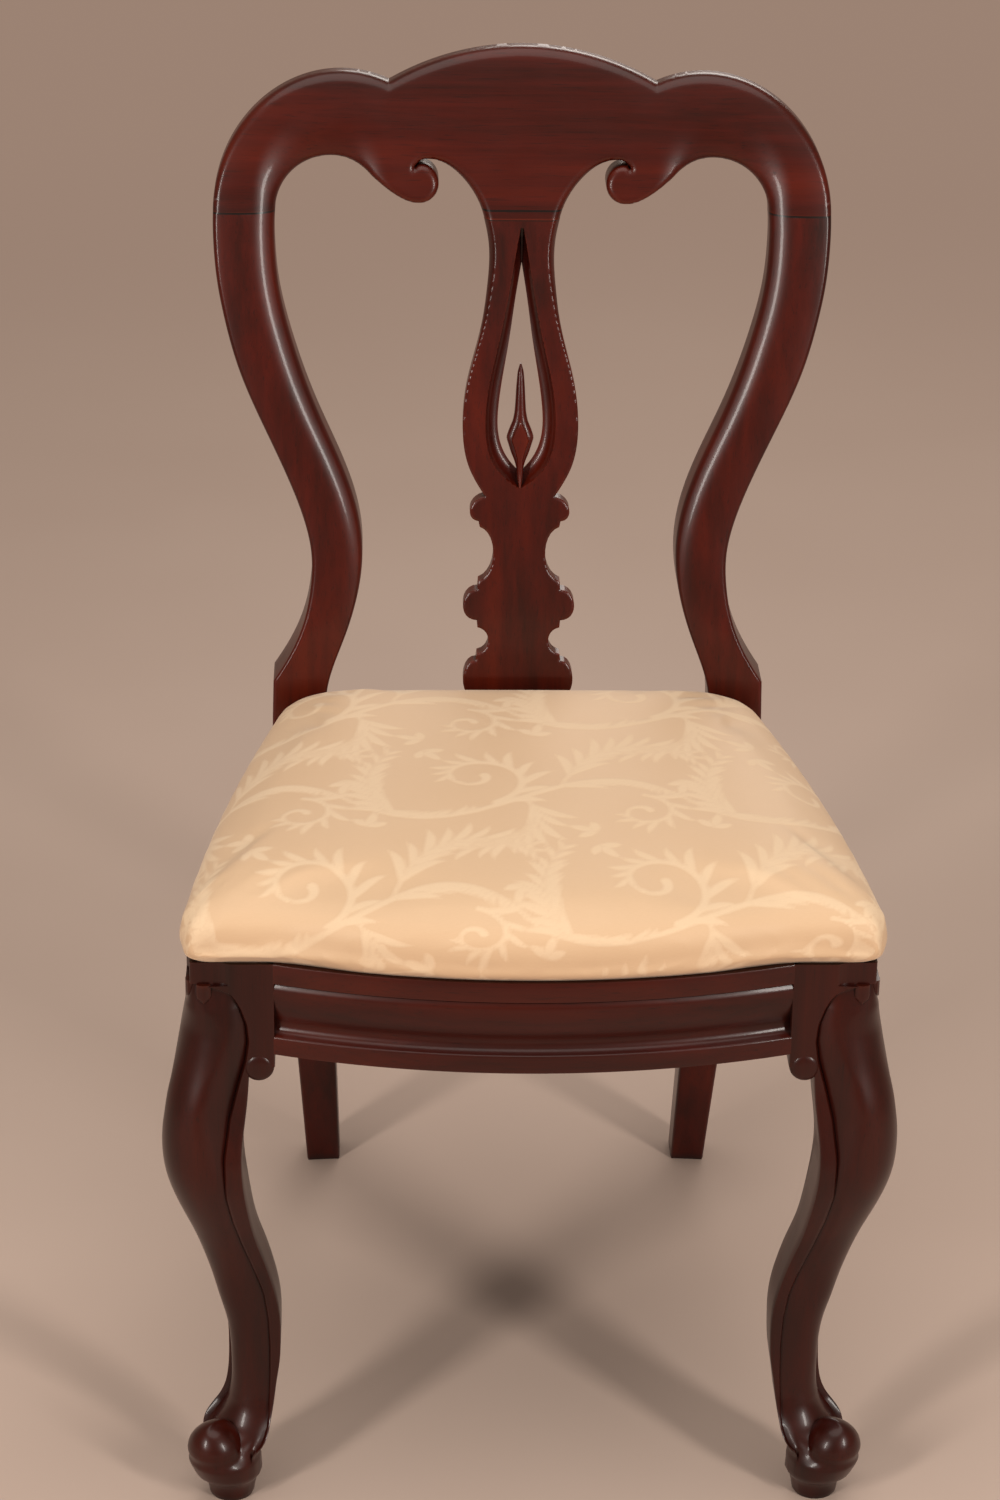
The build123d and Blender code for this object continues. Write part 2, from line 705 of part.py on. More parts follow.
def leg_section(out, width):
    """Square section of a leg, its outer corner rounder than the others."""
    x1 = corner_x + out
    x0 = x1 - width
    y0 = corner_y - out
    y1 = y0 + width
    big = width * leg_outer_round
    small = leg_inner_round
    k = 1 - math.sqrt(0.5)
    Line((x0 + small, y0), (x1 - big, y0))
    ThreePointArc((x1 - big, y0), (x1 - big * k, y0 + big * k), (x1, y0 + big))
    Line((x1, y0 + big), (x1, y1 - small))
    ThreePointArc((x1, y1 - small), (x1 - small * k, y1 - small * k), (x1 - small, y1))
    Line((x1 - small, y1), (x0 + small, y1))
    ThreePointArc((x0 + small, y1), (x0 + small * k, y1 - small * k), (x0, y1 - small))
    Line((x0, y1 - small), (x0, y0 + small))
    ThreePointArc((x0, y0 + small), (x0 + small * k, y0 + small * k), (x0 + small, y0))


across = (math.sqrt(0.5), math.sqrt(0.5), 0)
toe_center = Vector(half_front - toe_inset, leg_face_y + toe_inset, toe_z)
peg_center = (half_front - peg_inset, leg_face_y + peg_inset)


def toe_disc(reach, radius):
    """Cylinder about the toe scroll's axis, as far out as given each way."""
    with BuildPart() as disc:
        with BuildSketch(Plane(origin=toe_center, x_dir=(0, 0, 1), z_dir=across)):
            Circle(radius)
        extrude(amount=reach, both=True)
    return disc.part


with BuildPart() as front_leg_right:
    for height, out, width in leg_sections:
        with BuildSketch(Plane.XY.offset(height)):
            with BuildLine():
                leg_section(out, width)
            make_face()
    loft()
    # square head that the rails are tenoned into, and the scroll ears under it
    with Locations((half_front - head_size / 2, leg_face_y + head_size / 2, ear_z)):
        lowest = (Align.CENTER, Align.CENTER, Align.MIN)
        Box(head_size, head_size, seat_rail_top - ear_z, align=lowest)
    front_ear = (head_inner_x + ear_inset, leg_face_y, ear_z)
    side_ear = (half_front, head_back_y - ear_inset, ear_z)
    for plane in (
        Plane(origin=front_ear, x_dir=(1, 0, 0), z_dir=(0, 1, 0)),
        Plane(origin=side_ear, x_dir=(0, 1, 0), z_dir=(-1, 0, 0)),
    ):
        with BuildSketch(plane):
            Circle(ear_radius)
        extrude(amount=ear_length)
    # toe scroll, with raised rims and eyes on its ends, and the peg it stands on
    half_toe = toe_length / 2
    rim_radius = toe_radius + toe_rim
    add(toe_disc(half_toe, toe_radius))
    add(toe_disc(half_toe, rim_radius) - toe_disc(half_toe - toe_rim_width, rim_radius))
    add(toe_disc(half_toe + toe_eye_rise, toe_eye_radius))
    with BuildSketch(Plane.XY):
        with Locations(peg_center):
            Circle(peg_foot_radius)
    with BuildSketch(Plane.XY.offset(peg_top_z)):
        with Locations(peg_center):
            Circle(peg_top_radius)
    loft()
    # room for the drop-in seat, and the mortises of the two rails
    add(well, mode=Mode.SUBTRACT)
    add(
        end_tenon(0, front_tenon_y, front_tenons, tenon_thickness, glue_gap),
        mode=Mode.SUBTRACT,
    )
    add(
        end_tenon(
            front_side_tenon_x, head_back_y, tenon_thickness, 2 * tenon_length, glue_gap
        ),
        mode=Mode.SUBTRACT,
    )

# mortises of the rear posts and the crest, once all that enters them is made
with BuildPart() as post_holes:
    add(end_tenon(0, back_tenon_y, 2 * back_tenon_half, tenon_thickness, glue_gap))
    add(
        end_tenon(
            rear_side_tenon_x, post_face_y, tenon_thickness, 2 * tenon_length, glue_gap
        )
    )
    add(dowel_holes.part)
with BuildPart() as rear_post_right_bored:
    add(rear_post_right.part)
    add(post_holes.part, mode=Mode.SUBTRACT)
rear_post_right = rear_post_right_bored
with BuildPart() as crest_rail_bored:
    add(crest_rail.part)
    add(dowel_holes.part, mode=Mode.SUBTRACT)
    add(crest_socket.part, mode=Mode.SUBTRACT)
crest_rail = crest_rail_bored

# --------------------------------------------------------------- corner blocks
block_top = ledge_z - block_drop
block_bottom = block_top - block_height
front_inside_y = leg_face_y + front_rail_depth
# the long face of each block, from its end on the front or back rail to its other end
front_diagonal = [
    (head_inner_x - block_reach, front_inside_y - block_overlap),
    (half_front - side_rail_depth - front_block_end, head_back_y + block_reach),
]
rear_diagonal = [
    (post_inner_x - block_reach, back_rail_y),
    (rear_half_width - side_rail_depth - rear_block_end, post_face_y - block_reach),
]


def inside_block(outline, neighbours):
    """The part of a prism that fills the corner between its neighbours."""
    with BuildPart() as prism:
        with BuildSketch(Plane.XY.offset(block_bottom)):
            with BuildLine():
                Polyline(*outline, close=True)
            make_face()
        extrude(amount=block_height)
        for neighbour in neighbours:
            add(neighbour.part, mode=Mode.SUBTRACT)
    return prism.solids().sort_by(SortBy.VOLUME)[-1]


def block_screw(diagonal, share, direction, gap):
    """Countersunk screw from a block's long face into a rail, or with a gap its hole."""
    (x0, y0), (x1, y1) = diagonal
    sunk = screw_sink - gap
    x = x0 + share * (x1 - x0) + direction[0] * sunk
    y = y0 + share * (y1 - y0) + direction[1] * sunk
    head = Plane(origin=(x, y, (block_top + block_bottom) / 2), z_dir=(*direction, 0))
    with BuildPart() as screw:
        with BuildSketch(head):
            Circle(screw_head_radius + gap)
        with BuildSketch(head.offset(screw_head_height)):
            Circle(screw_radius + gap)
        loft()
        with BuildSketch(head.offset(screw_head_height)):
            Circle(screw_radius + gap)
        extrude(amount=screw_length - screw_head_height + 2 * gap)
        if gap:
            with BuildSketch(head):
                Circle(screw_head_radius + gap)
            extrude(amount=-screw_length)
    return screw.part


def all_screws(gap):
    """The eight screws of the four blocks, or with a gap all their holes."""
    with BuildPart() as screws:
        for diagonal, toward_rail in ((front_diagonal, (0, -1)), (rear_diagonal, (0, 1))):
            add(block_screw(diagonal, screw_shares[0], toward_rail, gap))
            add(block_screw(diagonal, screw_shares[1], (1, 0), gap))
        mirror(about=Plane.YZ)
    return screws


corner_block_screws = all_screws(0)
screw_holes = all_screws(glue_gap)

with BuildPart() as corner_block_front_right:
    outline = [
        front_diagonal[0],
        (head_inner_x - block_reach, front_inside_y - front_bow),
        (half_front, front_inside_y - front_bow),
        (half_front, head_back_y + block_reach),
        front_diagonal[1],
    ]
    add(inside_block(outline, [front_rail, side_rail_right, front_leg_right]))
    add(screw_holes.part, mode=Mode.SUBTRACT)
with BuildPart() as corner_block_rear_right:
    outline = [
        rear_diagonal[0],
        (post_inner_x, back_rail_y),
        (post_inner_x, post_face_y + 2),
        (rear_half_width, post_face_y + 2),
        (rear_half_width, post_face_y - block_reach),
        rear_diagonal[1],
    ]
    add(inside_block(outline, [back_rail, side_rail_right, rear_post_right]))
    add(screw_holes.part, mode=Mode.SUBTRACT)
for rail in (front_rail, back_rail, side_rail_right):
    with rail:
        add(screw_holes.part, mode=Mode.SUBTRACT)

# ---------------------------------------------------------- drop-in seat: frame
frame_inset = cover_inset + cloth
frame_back = seat_clearance + cloth
frame_bottom = ledge_z + cloth
frame_top = frame_bottom + member_thickness
lap_z = (frame_bottom + frame_top) / 2
front_member_y = leg_face_y + frame_inset + member_width
back_member_y = well_back_y - frame_back - member_width
seat_mid_y = (leg_face_y + well_back_y) / 2
side_member_front = half_front - frame_inset - member_width
side_member_back = rear_half_width - frame_inset - member_width
whole_frame = seat_slab(frame_inset, frame_back, well_corner, frame_bottom, frame_top)


def band(y0, y1, z0, z1):
    """Wide box between two distances back and two heights."""
    with BuildPart() as box:
        with Locations((0, (y0 + y1) / 2, (z0 + z1) / 2)):
            Box(2 * front_width, y1 - y0, z1 - z0)
    return box.part


with BuildPart() as inner_wedge:
    reach = 3 * front_bow
    with BuildSketch(Plane.XY.offset(frame_bottom)):
        with BuildLine():
            front_x = side_member_front - side_slope * reach
            back_x = side_member_back + side_slope * reach
            Polyline(
                (front_x, leg_face_y - reach), (back_x, well_back_y + reach),
                (-back_x, well_back_y + reach), (-front_x, leg_face_y - reach), close=True,
            )
        make_face()
    extrude(amount=member_thickness)

side_strips = whole_frame - inner_wedge.part
front_zone = band(leg_face_y - 2 * front_bow, front_member_y, frame_bottom, frame_top)
back_zone = band(back_member_y, well_back_y, frame_bottom, frame_top)
upper_half = band(leg_face_y - 2 * front_bow, well_back_y, lap_z, frame_top)
lower_half = band(leg_face_y - 2 * front_bow, well_back_y, frame_bottom, lap_z)

with BuildPart() as seat_frame_front:
    add(whole_frame & front_zone)
    add(side_strips & upper_half, mode=Mode.SUBTRACT)
with BuildPart() as seat_frame_back:
    add(whole_frame & back_zone)
    add(side_strips & upper_half, mode=Mode.SUBTRACT)
with BuildPart() as seat_frame_right:
    add(side_strips)
    add(front_zone & lower_half, mode=Mode.SUBTRACT)
    add(back_zone & lower_half, mode=Mode.SUBTRACT)
    split(bisect_by=Plane.YZ, keep=Keep.TOP)

# ------------------------------------------- drop-in seat: webbing and hessian
web_start_y = leg_face_y + frame_inset + web_margin
web_end_y = well_back_y - frame_back - web_margin
web_middle_z = frame_top + web_thickness / 2
cross_middle_z = frame_top + 1.5 * web_thickness
fold_z = frame_top + web_thickness

with BuildPart() as webbing_long:
    with Locations((0, (web_start_y + web_end_y) / 2, web_middle_z)):
        with GridLocations(web_spacing, 1, webs_long, 1):
            Box(web_width, web_end_y - web_start_y, web_thickness)
    for y in (web_start_y + web_fold / 2, web_end_y - web_fold / 2):
        with Locations((0, y, fold_z)):
            with GridLocations(web_spacing, 1, webs_long, 1):
                Box(web_width, web_fold, 2 * web_thickness)

with BuildPart() as webbing_cross:
    for number in range(webs_cross):
        y = seat_mid_y + (number - (webs_cross - 1) / 2) * web_spacing
        half = half_front - frame_inset - web_margin + side_slope * (
            y + web_width / 2 - leg_face_y
        )
        with Locations((0, y, cross_middle_z)):
            Box(2 * half, web_width, web_thickness)
        with Locations((half - web_fold / 2, y, fold_z), (web_fold / 2 - half, y, fold_z)):
            Box(web_fold, web_width, 2 * web_thickness)

hessian_z = frame_top + 2 * web_thickness
hessian_inset = frame_inset + web_margin - hessian_cover
hessian_back = frame_back + web_margin - hessian_cover
with BuildPart() as hessian:
    add(seat_slab(hessian_inset, hessian_back, well_corner, hessian_z, hessian_z + lining))

# ------------------------------------------- drop-in seat: stuffing and cover
crown_height = crown_z - seat_rail_top


def crowned(skin):
    """The seat's crowned form, a cloth's thickness inside its outer surface."""
    with BuildPart() as form:
        for share, side_inset, back_inset, corner in crown_rise:
            top = skin if share > crown_rise[0][0] else 0
            with BuildSketch(
                Plane.XY.offset(seat_rail_top + share * crown_height - top)
            ) as section:
                with BuildLine():
                    plan_lines(side_inset + skin, back_inset + skin)
                make_face()
                fillet(plan_corners(section), radius=corner)
        loft(ruled=True)
    return form.part


cover_z = seat_rail_top + crown_rise[0][0] * crown_height
with BuildPart() as stuffing:
    add(crowned(cloth))
    below = band(leg_face_y - 2 * front_bow, well_back_y + front_bow, 0, frame_top)
    add(below, mode=Mode.SUBTRACT)
    add(
        seat_slab(
            hessian_inset, hessian_back, well_corner, frame_bottom, hessian_z + lining
        ),
        mode=Mode.SUBTRACT,
    )
with BuildPart() as seat_cover:
    add(crowned(0))
    add(seat_slab(cover_inset, seat_clearance, well_corner, ledge_z, cover_z))
    add(crowned(cloth), mode=Mode.SUBTRACT)
    add(whole_frame, mode=Mode.SUBTRACT)
    add(
        seat_slab(frame_inset, frame_back, well_corner, frame_bottom, cover_z),
        mode=Mode.SUBTRACT,
    )
    turn = cover_inset + cover_turn
    turn_back = seat_clearance + cover_turn
    add(
        seat_slab(turn, turn_back, well_corner, ledge_z, frame_bottom),
        mode=Mode.SUBTRACT,
    )
with BuildPart() as bottom_cloth:
    add(
        seat_slab(turn, turn_back, well_corner, frame_bottom - lining, frame_bottom)
    )

# --------------------------------------------------------- left-hand pieces
with BuildPart() as front_leg_left:
    mirror(front_leg_right.part, about=Plane.YZ)
with BuildPart() as rear_post_left:
    mirror(rear_post_right.part, about=Plane.YZ)
with BuildPart() as side_rail_left:
    mirror(side_rail_right.part, about=Plane.YZ)
with BuildPart() as corner_block_front_left:
    mirror(corner_block_front_right.part, about=Plane.YZ)
with BuildPart() as corner_block_rear_left:
    mirror(corner_block_rear_right.part, about=Plane.YZ)
with BuildPart() as seat_frame_left:
    mirror(seat_frame_right.part, about=Plane.YZ)

# ----------------------------------------------------------------------- export
pieces = {
    "front_leg_left": front_leg_left,
    "front_leg_right": front_leg_right,
    "rear_post_left": rear_post_left,
    "rear_post_right": rear_post_right,
    "crest_rail": crest_rail,
    "splat": splat,
    "splat_shoe": splat_shoe,
    "front_rail": front_rail,
    "side_rail_left": side_rail_left,
    "side_rail_right": side_rail_right,
    "back_rail": back_rail,
    "corner_block_front_left": corner_block_front_left,
    "corner_block_front_right": corner_block_front_right,
    "corner_block_rear_left": corner_block_rear_left,
    "corner_block_rear_right": corner_block_rear_right,
    "corner_block_screws": corner_block_screws,
    "crest_dowels_left": crest_dowels_left,
    "crest_dowels_right": crest_dowels_right,
    "seat_frame_front": seat_frame_front,
    "seat_frame_back": seat_frame_back,
    "seat_frame_left": seat_frame_left,
    "seat_frame_right": seat_frame_right,
    "webbing_long": webbing_long,
    "webbing_cross": webbing_cross,
    "hessian": hessian,
    "bottom_cloth": bottom_cloth,
    "stuffing": stuffing,
    "seat_cover": seat_cover,
}
os.makedirs("parts", exist_ok=True)
for name, piece in pieces.items():
    piece.part.label = name
    export_step(piece.part, f"parts/{name}.step")
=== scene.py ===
import bmesh
import bpy
import math
import numpy as np
from mathutils import Matrix, Vector


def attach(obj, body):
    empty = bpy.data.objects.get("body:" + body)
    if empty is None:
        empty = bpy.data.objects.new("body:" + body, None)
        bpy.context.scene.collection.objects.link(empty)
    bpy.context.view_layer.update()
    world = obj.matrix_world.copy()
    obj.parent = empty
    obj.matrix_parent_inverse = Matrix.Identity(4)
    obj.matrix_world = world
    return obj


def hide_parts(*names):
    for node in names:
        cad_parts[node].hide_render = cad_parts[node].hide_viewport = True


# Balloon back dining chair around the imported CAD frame. Shapes are worked out in
# millimetres, X right, Y back, Z up, and become metres when a mesh is made.

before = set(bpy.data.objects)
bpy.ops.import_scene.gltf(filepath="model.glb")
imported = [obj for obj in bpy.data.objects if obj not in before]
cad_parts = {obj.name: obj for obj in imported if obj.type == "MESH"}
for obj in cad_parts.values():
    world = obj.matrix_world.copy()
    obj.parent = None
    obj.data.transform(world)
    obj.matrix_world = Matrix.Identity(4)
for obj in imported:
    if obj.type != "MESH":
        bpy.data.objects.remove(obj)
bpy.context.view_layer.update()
MM = 0.001


def placed(name, data):
    """A new object in the scene."""
    made = bpy.data.objects.new(name, data)
    bpy.context.scene.collection.objects.link(made)
    return made


# ------------------------------------------------------------- camera and light
PHOTO_HEIGHT = 1500
FOCAL_PIXELS = 4006.1
BACKDROP = (0.33, 0.225, 0.172)
LAMPS = [
    # name, place, target, width and height, watts
    ("softbox_left", (-1.9, -2.3, 1.6), (0, 0, 0.5), (0.4, 1.5), 45),
    ("softbox_right", (1.9, -2.3, 1.6), (0, 0, 0.5), (0.4, 1.5), 45),
    ("softbox_top", (0, -0.3, 3.3), (0, -0.1, 0.4), (3.2, 3.2), 52),
    ("softbox_back", (0.7, 3.0, 1.9), (0, 0.2, 0.6), (1.8, 1.2), 20),
]


def make_camera():
    """The photograph's viewing angle: a long lens, looking down from head height."""
    yaw, pitch, roll = (math.radians(turn) for turn in (1.9, -24.3, 0.9))
    forward = Vector((
        math.sin(yaw) * math.cos(pitch), math.cos(yaw) * math.cos(pitch), math.sin(pitch)
    ))
    right = forward.cross(Vector((0, 0, 1))).normalized()
    up = right.cross(forward)
    turned_right = right * math.cos(roll) + up * math.sin(roll)
    turned_up = up * math.cos(roll) - right * math.sin(roll)
    camera = placed("camera", bpy.data.cameras.new("camera"))
    camera.data.sensor_width = 36.0
    camera.data.lens = 36.0 * FOCAL_PIXELS / PHOTO_HEIGHT
    camera.data.clip_end = 50
    place = Matrix((turned_right, turned_up, -forward)).transposed().to_4x4()
    place.translation = Vector((-0.1049, -2.6331, 1.6676))
    camera.matrix_world = place
    bpy.context.scene.camera = camera


def seen_directly(tree):
    """1 for what the camera, a reflection or clear glass sees, 0 for light that falls on things."""
    path = tree.nodes.new("ShaderNodeLightPath")
    total = path.outputs["Is Camera Ray"]
    for name in ("Is Glossy Ray", "Is Transmission Ray"):
        either = tree.nodes.new("ShaderNodeMath")
        either.operation = "MAXIMUM"
        tree.links.new(total, either.inputs[0])
        tree.links.new(path.outputs[name], either.inputs[1])
        total = either.outputs[0]
    return total


def make_light():
    for name, place, target, size, watts in LAMPS:
        light = bpy.data.lights.new(name, "AREA")
        light.shape = "ELLIPSE"
        light.size, light.size_y = size
        light.energy = watts
        light.color = (1.0, 0.95, 0.89)
        lamp = placed(name, light)
        lamp.location = place
        lamp.rotation_euler = (Vector(target) - Vector(place)).to_track_quat("-Z", "Y").to_euler()
    world = bpy.data.worlds.new("studio")
    bpy.context.scene.world = world
    world.use_nodes = True
    tree = world.node_tree
    seen, lighting = tree.nodes["Background"], tree.nodes.new("ShaderNodeBackground")
    seen.inputs["Color"].default_value = (*BACKDROP, 1)
    lighting.inputs["Color"].default_value = (0.84, 0.77, 0.71, 1)
    lighting.inputs["Strength"].default_value = 0.13
    either = tree.nodes.new("ShaderNodeMixShader")
    for number, source in enumerate((seen_directly(tree), lighting.outputs[0], seen.outputs[0])):
        tree.links.new(source, either.inputs[number])
    tree.links.new(either.outputs[0], tree.nodes["World Output"].inputs[0])


# ------------------------------------------------------------- material helpers
class Shader:
    """A material's nodes, made and joined with short calls."""

    def __init__(self, name):
        self.material = bpy.data.materials.new(name)
        self.material.use_nodes = True
        self.tree = self.material.node_tree
        self.tree.nodes.clear()
        self.bsdf = self.node("ShaderNodeBsdfPrincipled")
        self.output = self.node("ShaderNodeOutputMaterial")
        self.tree.links.new(self.bsdf.outputs[0], self.output.inputs[0])
        self.place = self.node("ShaderNodeTexCoord").outputs["Object"]

    def node(self, kind, **settings):
        made = self.tree.nodes.new(kind)
        for key, value in settings.items():
            setattr(made, key, value)
        return made

    def put(self, socket, value):
        if isinstance(value, bpy.types.NodeSocket):
            self.tree.links.new(value, socket)
        else:
            socket.default_value = value

    def fed(self, kind, values, **settings):
        """A node with its inputs set or linked, by name or number."""
        made = self.node(kind, **settings)
        for key, value in values.items():
            self.put(made.inputs[key], value)
        return made

    def set(self, **values):
        for key, value in values.items():
            self.put(self.bsdf.inputs[key.replace("_", " ")], value)

    def noise(self, scale, detail=4.0, rough=0.55, bend=0.0):
        place = self.fed("ShaderNodeMapping", {"Vector": self.place, "Scale": scale}).outputs[0]
        values = {
            "Vector": place, "Scale": 1.0, "Detail": detail, "Roughness": rough, "Distortion": bend,
        }
        return self.fed("ShaderNodeTexNoise", values).outputs["Fac"]

    def ramp(self, value, *stops):
        made = self.fed("ShaderNodeValToRGB", {0: value})
        elements = made.color_ramp.elements
        while len(elements) < len(stops):
            elements.new(0.5)
        for element, (at, colour) in zip(elements, stops):
            element.position = at
            element.color = (*colour, 1) if len(colour) == 3 else (colour[0],) * 3 + (1,)
        return made.outputs[0]

    def mix(self, share, first, second):
        ends = [(*value, 1) if isinstance(value, tuple) else value for value in (first, second)]
        return self.fed("ShaderNodeMix", {0: share, 6: ends[0], 7: ends[1]}, data_type="RGBA").outputs[2]

    def math(self, operation, *values):
        return self.fed("ShaderNodeMath", dict(enumerate(values)), operation=operation).outputs[0]

    def span(self, value, low, high):
        """Maps 0..1 to low..high."""
        return self.fed("ShaderNodeMapRange", {"Value": value, "To Min": low, "To Max": high}).outputs[0]

    def bump(self, height, distance, strength=1.0, under=None):
        values = {"Height": height, "Distance": distance, "Strength": strength}
        if under is not None:
            values["Normal"] = under
        return self.fed("ShaderNodeBump", values).outputs[0]

    def shade_and_grime(self, colour, distance, low, high, shade_and_dirt):
        """Painted shade in hollows, from ambient occlusion, that also stands for dirt there: full below
        low, none above high.
        """
        hollow = self.fed("ShaderNodeAmbientOcclusion", {"Distance": distance}, samples=6).outputs["AO"]
        return self.mix(self.ramp(hollow, low, (high, (0.0,))), colour, shade_and_dirt)


def srgb(red, green, blue):
    """A given colour, 0 to 255, as the linear one that a shader takes."""
    return tuple(
        ((c / 255 + 0.055) / 1.055) ** 2.4 if c > 10 else c / 3294 for c in (red, green, blue)
    )


def along(axis, length, across):
    """Noise scale that stretches along one axis, for grain."""
    scale = [across, across, across]
    scale["xyz".index(axis)] = length
    return tuple(scale)


def mahogany(name, grain, painted_shade=0.0, seam=None):
    """Dark red French-polished mahogany: its grain's axis, a share of painted shade for parts that sit
    in shade low under the seat, a joint's height.
    """
    s = Shader(name)
    figure = s.noise(along(grain, 1.6, 26), 5, 0.6, 0.35)
    streak = s.noise(along(grain, 4.0, 150), 5, 0.65, 0.15)
    pores = s.noise(along(grain, 30.0, 900), 3, 0.6)
    cloud = s.noise((9, 9, 9), 2, 0.5)
    handled = s.noise((38, 38, 38), 4, 0.6)
    deep, mid, warm = srgb(30, 5, 1), srgb(78, 12, 1), srgb(114, 28, 2)
    colour = s.ramp(figure, (0.30, deep), (0.52, mid), (0.74, warm))
    colour = s.mix(s.span(streak, 0.0, 0.75), colour, s.ramp(streak, (0.35, deep), (0.65, mid)))
    colour = s.mix(s.span(cloud, 0.0, 0.45), colour, srgb(44, 9, 4))
    colour = s.mix(s.ramp(pores, (0.30, (0.55,)), (0.42, (0.0,))), colour, srgb(22, 5, 3))
    edge = s.node("ShaderNodeNewGeometry").outputs["Pointiness"]
    worn = s.math("MULTIPLY", s.ramp(edge, (0.53, (0.0,)), (0.62, (1.0,))), s.span(cloud, 0.1, 0.8))
    colour = s.mix(worn, colour, srgb(128, 44, 18))
    # painted shade: near-black in the hollows and crevices of the carving, from ambient occlusion, with
    # some dirt in the polish
    colour = s.shade_and_grime(colour, 0.012, (0.25, (0.85,)), 0.75, srgb(20, 6, 4))
    # painted shade: the whole surface darkened by that share, for the legs and rails under the seat
    colour = s.mix(painted_shade, colour, srgb(24, 5, 2))
    if seam is not None:
        height = s.fed("ShaderNodeSeparateXYZ", {0: s.place}).outputs[2]
        colour = s.mix(s.math("COMPARE", height, seam, 0.0007), colour, srgb(14, 6, 4))
    s.set(
        Base_Color=colour,
        Roughness=s.span(s.mix(0.5, handled, streak), 0.26, 0.42),
        Normal=s.bump(
            pores, 0.00006, 0.35, s.bump(streak, 0.00012, 0.25, s.bump(cloud, 0.0012, 0.10))
        ),
        Specular_IOR_Level=0.28, Coat_Weight=0.18, Coat_Roughness=0.1,
    )
    return s.material


def beech(name, grain):
    """Plain unpolished inner wood, darkened by age."""
    s = Shader(name)
    figure = s.noise(along(grain, 3, 60), 5, 0.6, 0.3)
    flecks = s.noise(along(grain, 60, 700), 3, 0.6)
    colour = s.ramp(figure, (0.3, srgb(122, 84, 50)), (0.7, srgb(176, 132, 84)))
    colour = s.mix(s.ramp(flecks, (0.32, (0.5,)), (0.45, (0.0,))), colour, srgb(86, 56, 32))
    s.set(Base_Color=colour, Roughness=s.span(figure, 0.62, 0.78), Normal=s.bump(flecks, 0.0001, 0.5))
    return s.material


def weave(name, pitch, thread, gap, rough):
    """Plain weave of two threads, darker between them, for webbing, hessian and lining."""
    s = Shader(name)
    split = s.fed("ShaderNodeSeparateXYZ", {0: s.place})
    waves = [
        s.math("SINE", s.math("MULTIPLY", split.outputs[axis], 2 * math.pi / pitch)) for axis in (0, 1)
    ]
    height = s.math("MULTIPLY_ADD", s.math("MULTIPLY", *waves), 0.5, 0.5)
    patchy = s.noise((60, 60, 60), 4, 0.6)
    colour = s.mix(s.span(patchy, 0.0, 0.5), s.mix(height, gap, thread), gap)
    s.set(Base_Color=colour, Roughness=rough, Normal=s.bump(height, pitch * 0.2, 0.7), Sheen_Weight=0.15)
    return s.material


def steel(name):
    """Dull steel of an old countersunk screw."""
    s = Shader(name)
    spots = s.noise((400, 400, 400), 4, 0.6)
    s.set(
        Base_Color=s.ramp(spots, (0.35, srgb(90, 74, 62)), (0.6, srgb(150, 144, 138))),
        Roughness=s.span(spots, 0.55, 0.35), Metallic=0.9, Normal=s.bump(spots, 0.0001, 0.4),
    )
    return s.material


def paint_cad():
    """Procedural materials on the CAD nodes, by what their names start with."""
    # the rails, splat shoe and front legs take shaded copies of the mahogany: the number after the
    # grain's axis is the share of painted shade for parts low under the seat
    across = mahogany("mahogany_across_shaded", "x", 0.35)
    pale_across, pale_back = beech("beech_across", "x"), beech("beech_back", "y")
    materials = {
        "front_leg": mahogany("mahogany_upright_shaded", "z", 0.58),
        "rear_post": mahogany("mahogany_post", "z", seam=JOINT_Z * MM),
        "crest_rail": mahogany("mahogany_crest", "x", seam=JOINT_Z * MM),
        "splat": mahogany("mahogany_splat", "z", seam=NECK_Z * MM),
        "splat_shoe": across, "front_rail": across, "back_rail": across,
        "side_rail": mahogany("mahogany_side_shaded", "y", 0.35),
        "corner_block": pale_across, "corner_block_screws": steel("screw_steel"),
        "crest_dowels_left": beech("beech_up", "z"), "crest_dowels_right": pale_across,
        "seat_frame": pale_across, "seat_frame_left": pale_back, "seat_frame_right": pale_back,
        "webbing": weave("webbing", 0.0022, srgb(186, 158, 112), srgb(104, 80, 48), 0.85),
        "hessian": weave("hessian", 0.0016, srgb(160, 128, 84), srgb(86, 64, 38), 0.9),
        "bottom_cloth": weave("lining", 0.0007, srgb(34, 32, 33), srgb(14, 13, 14), 0.9),
    }
    for name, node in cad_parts.items():
        kinds = [kind for kind in materials if name.startswith(kind)]
        for slot in node.material_slots if kinds else ():
            slot.material = materials[max(kinds, key=len)]
    return materials


# ------------------------------------------------------------- shape helpers
def smooth_through(points, at):
    """Natural cubic through (place, value) points, read at many places."""
    points = sorted(points)
    place = np.array([p[0] for p in points], float)
    value = np.array([p[1] for p in points], float)
    count = len(place)
    gap = np.diff(place)
    rise = np.diff(value) / gap
    matrix, target = np.eye(count), np.zeros(count)
    for k in range(1, count - 1):
        matrix[k, k - 1:k + 2] = gap[k - 1], 2 * (gap[k - 1] + gap[k]), gap[k]
        target[k] = 3 * (rise[k] - rise[k - 1])
    bend = np.linalg.solve(matrix, target)
    at = np.asarray(at, float)
    k = np.clip(np.searchsorted(place, at) - 1, 0, count - 2)
    t = at - place[k]
    slope = rise[k] - gap[k] * (2 * bend[k] + bend[k + 1]) / 3
    return value[k] + slope * t + bend[k] * t**2 + (bend[k + 1] - bend[k]) / (3 * gap[k]) * t**3


def ease(low, high, value):
    """0 below low, 1 above high, smooth between."""
    t = np.clip((np.asarray(value, float) - low) / (high - low), 0, 1)
    return t * t * (3 - 2 * t)


def blend(share, first, second):
    return first + (second - first) * share


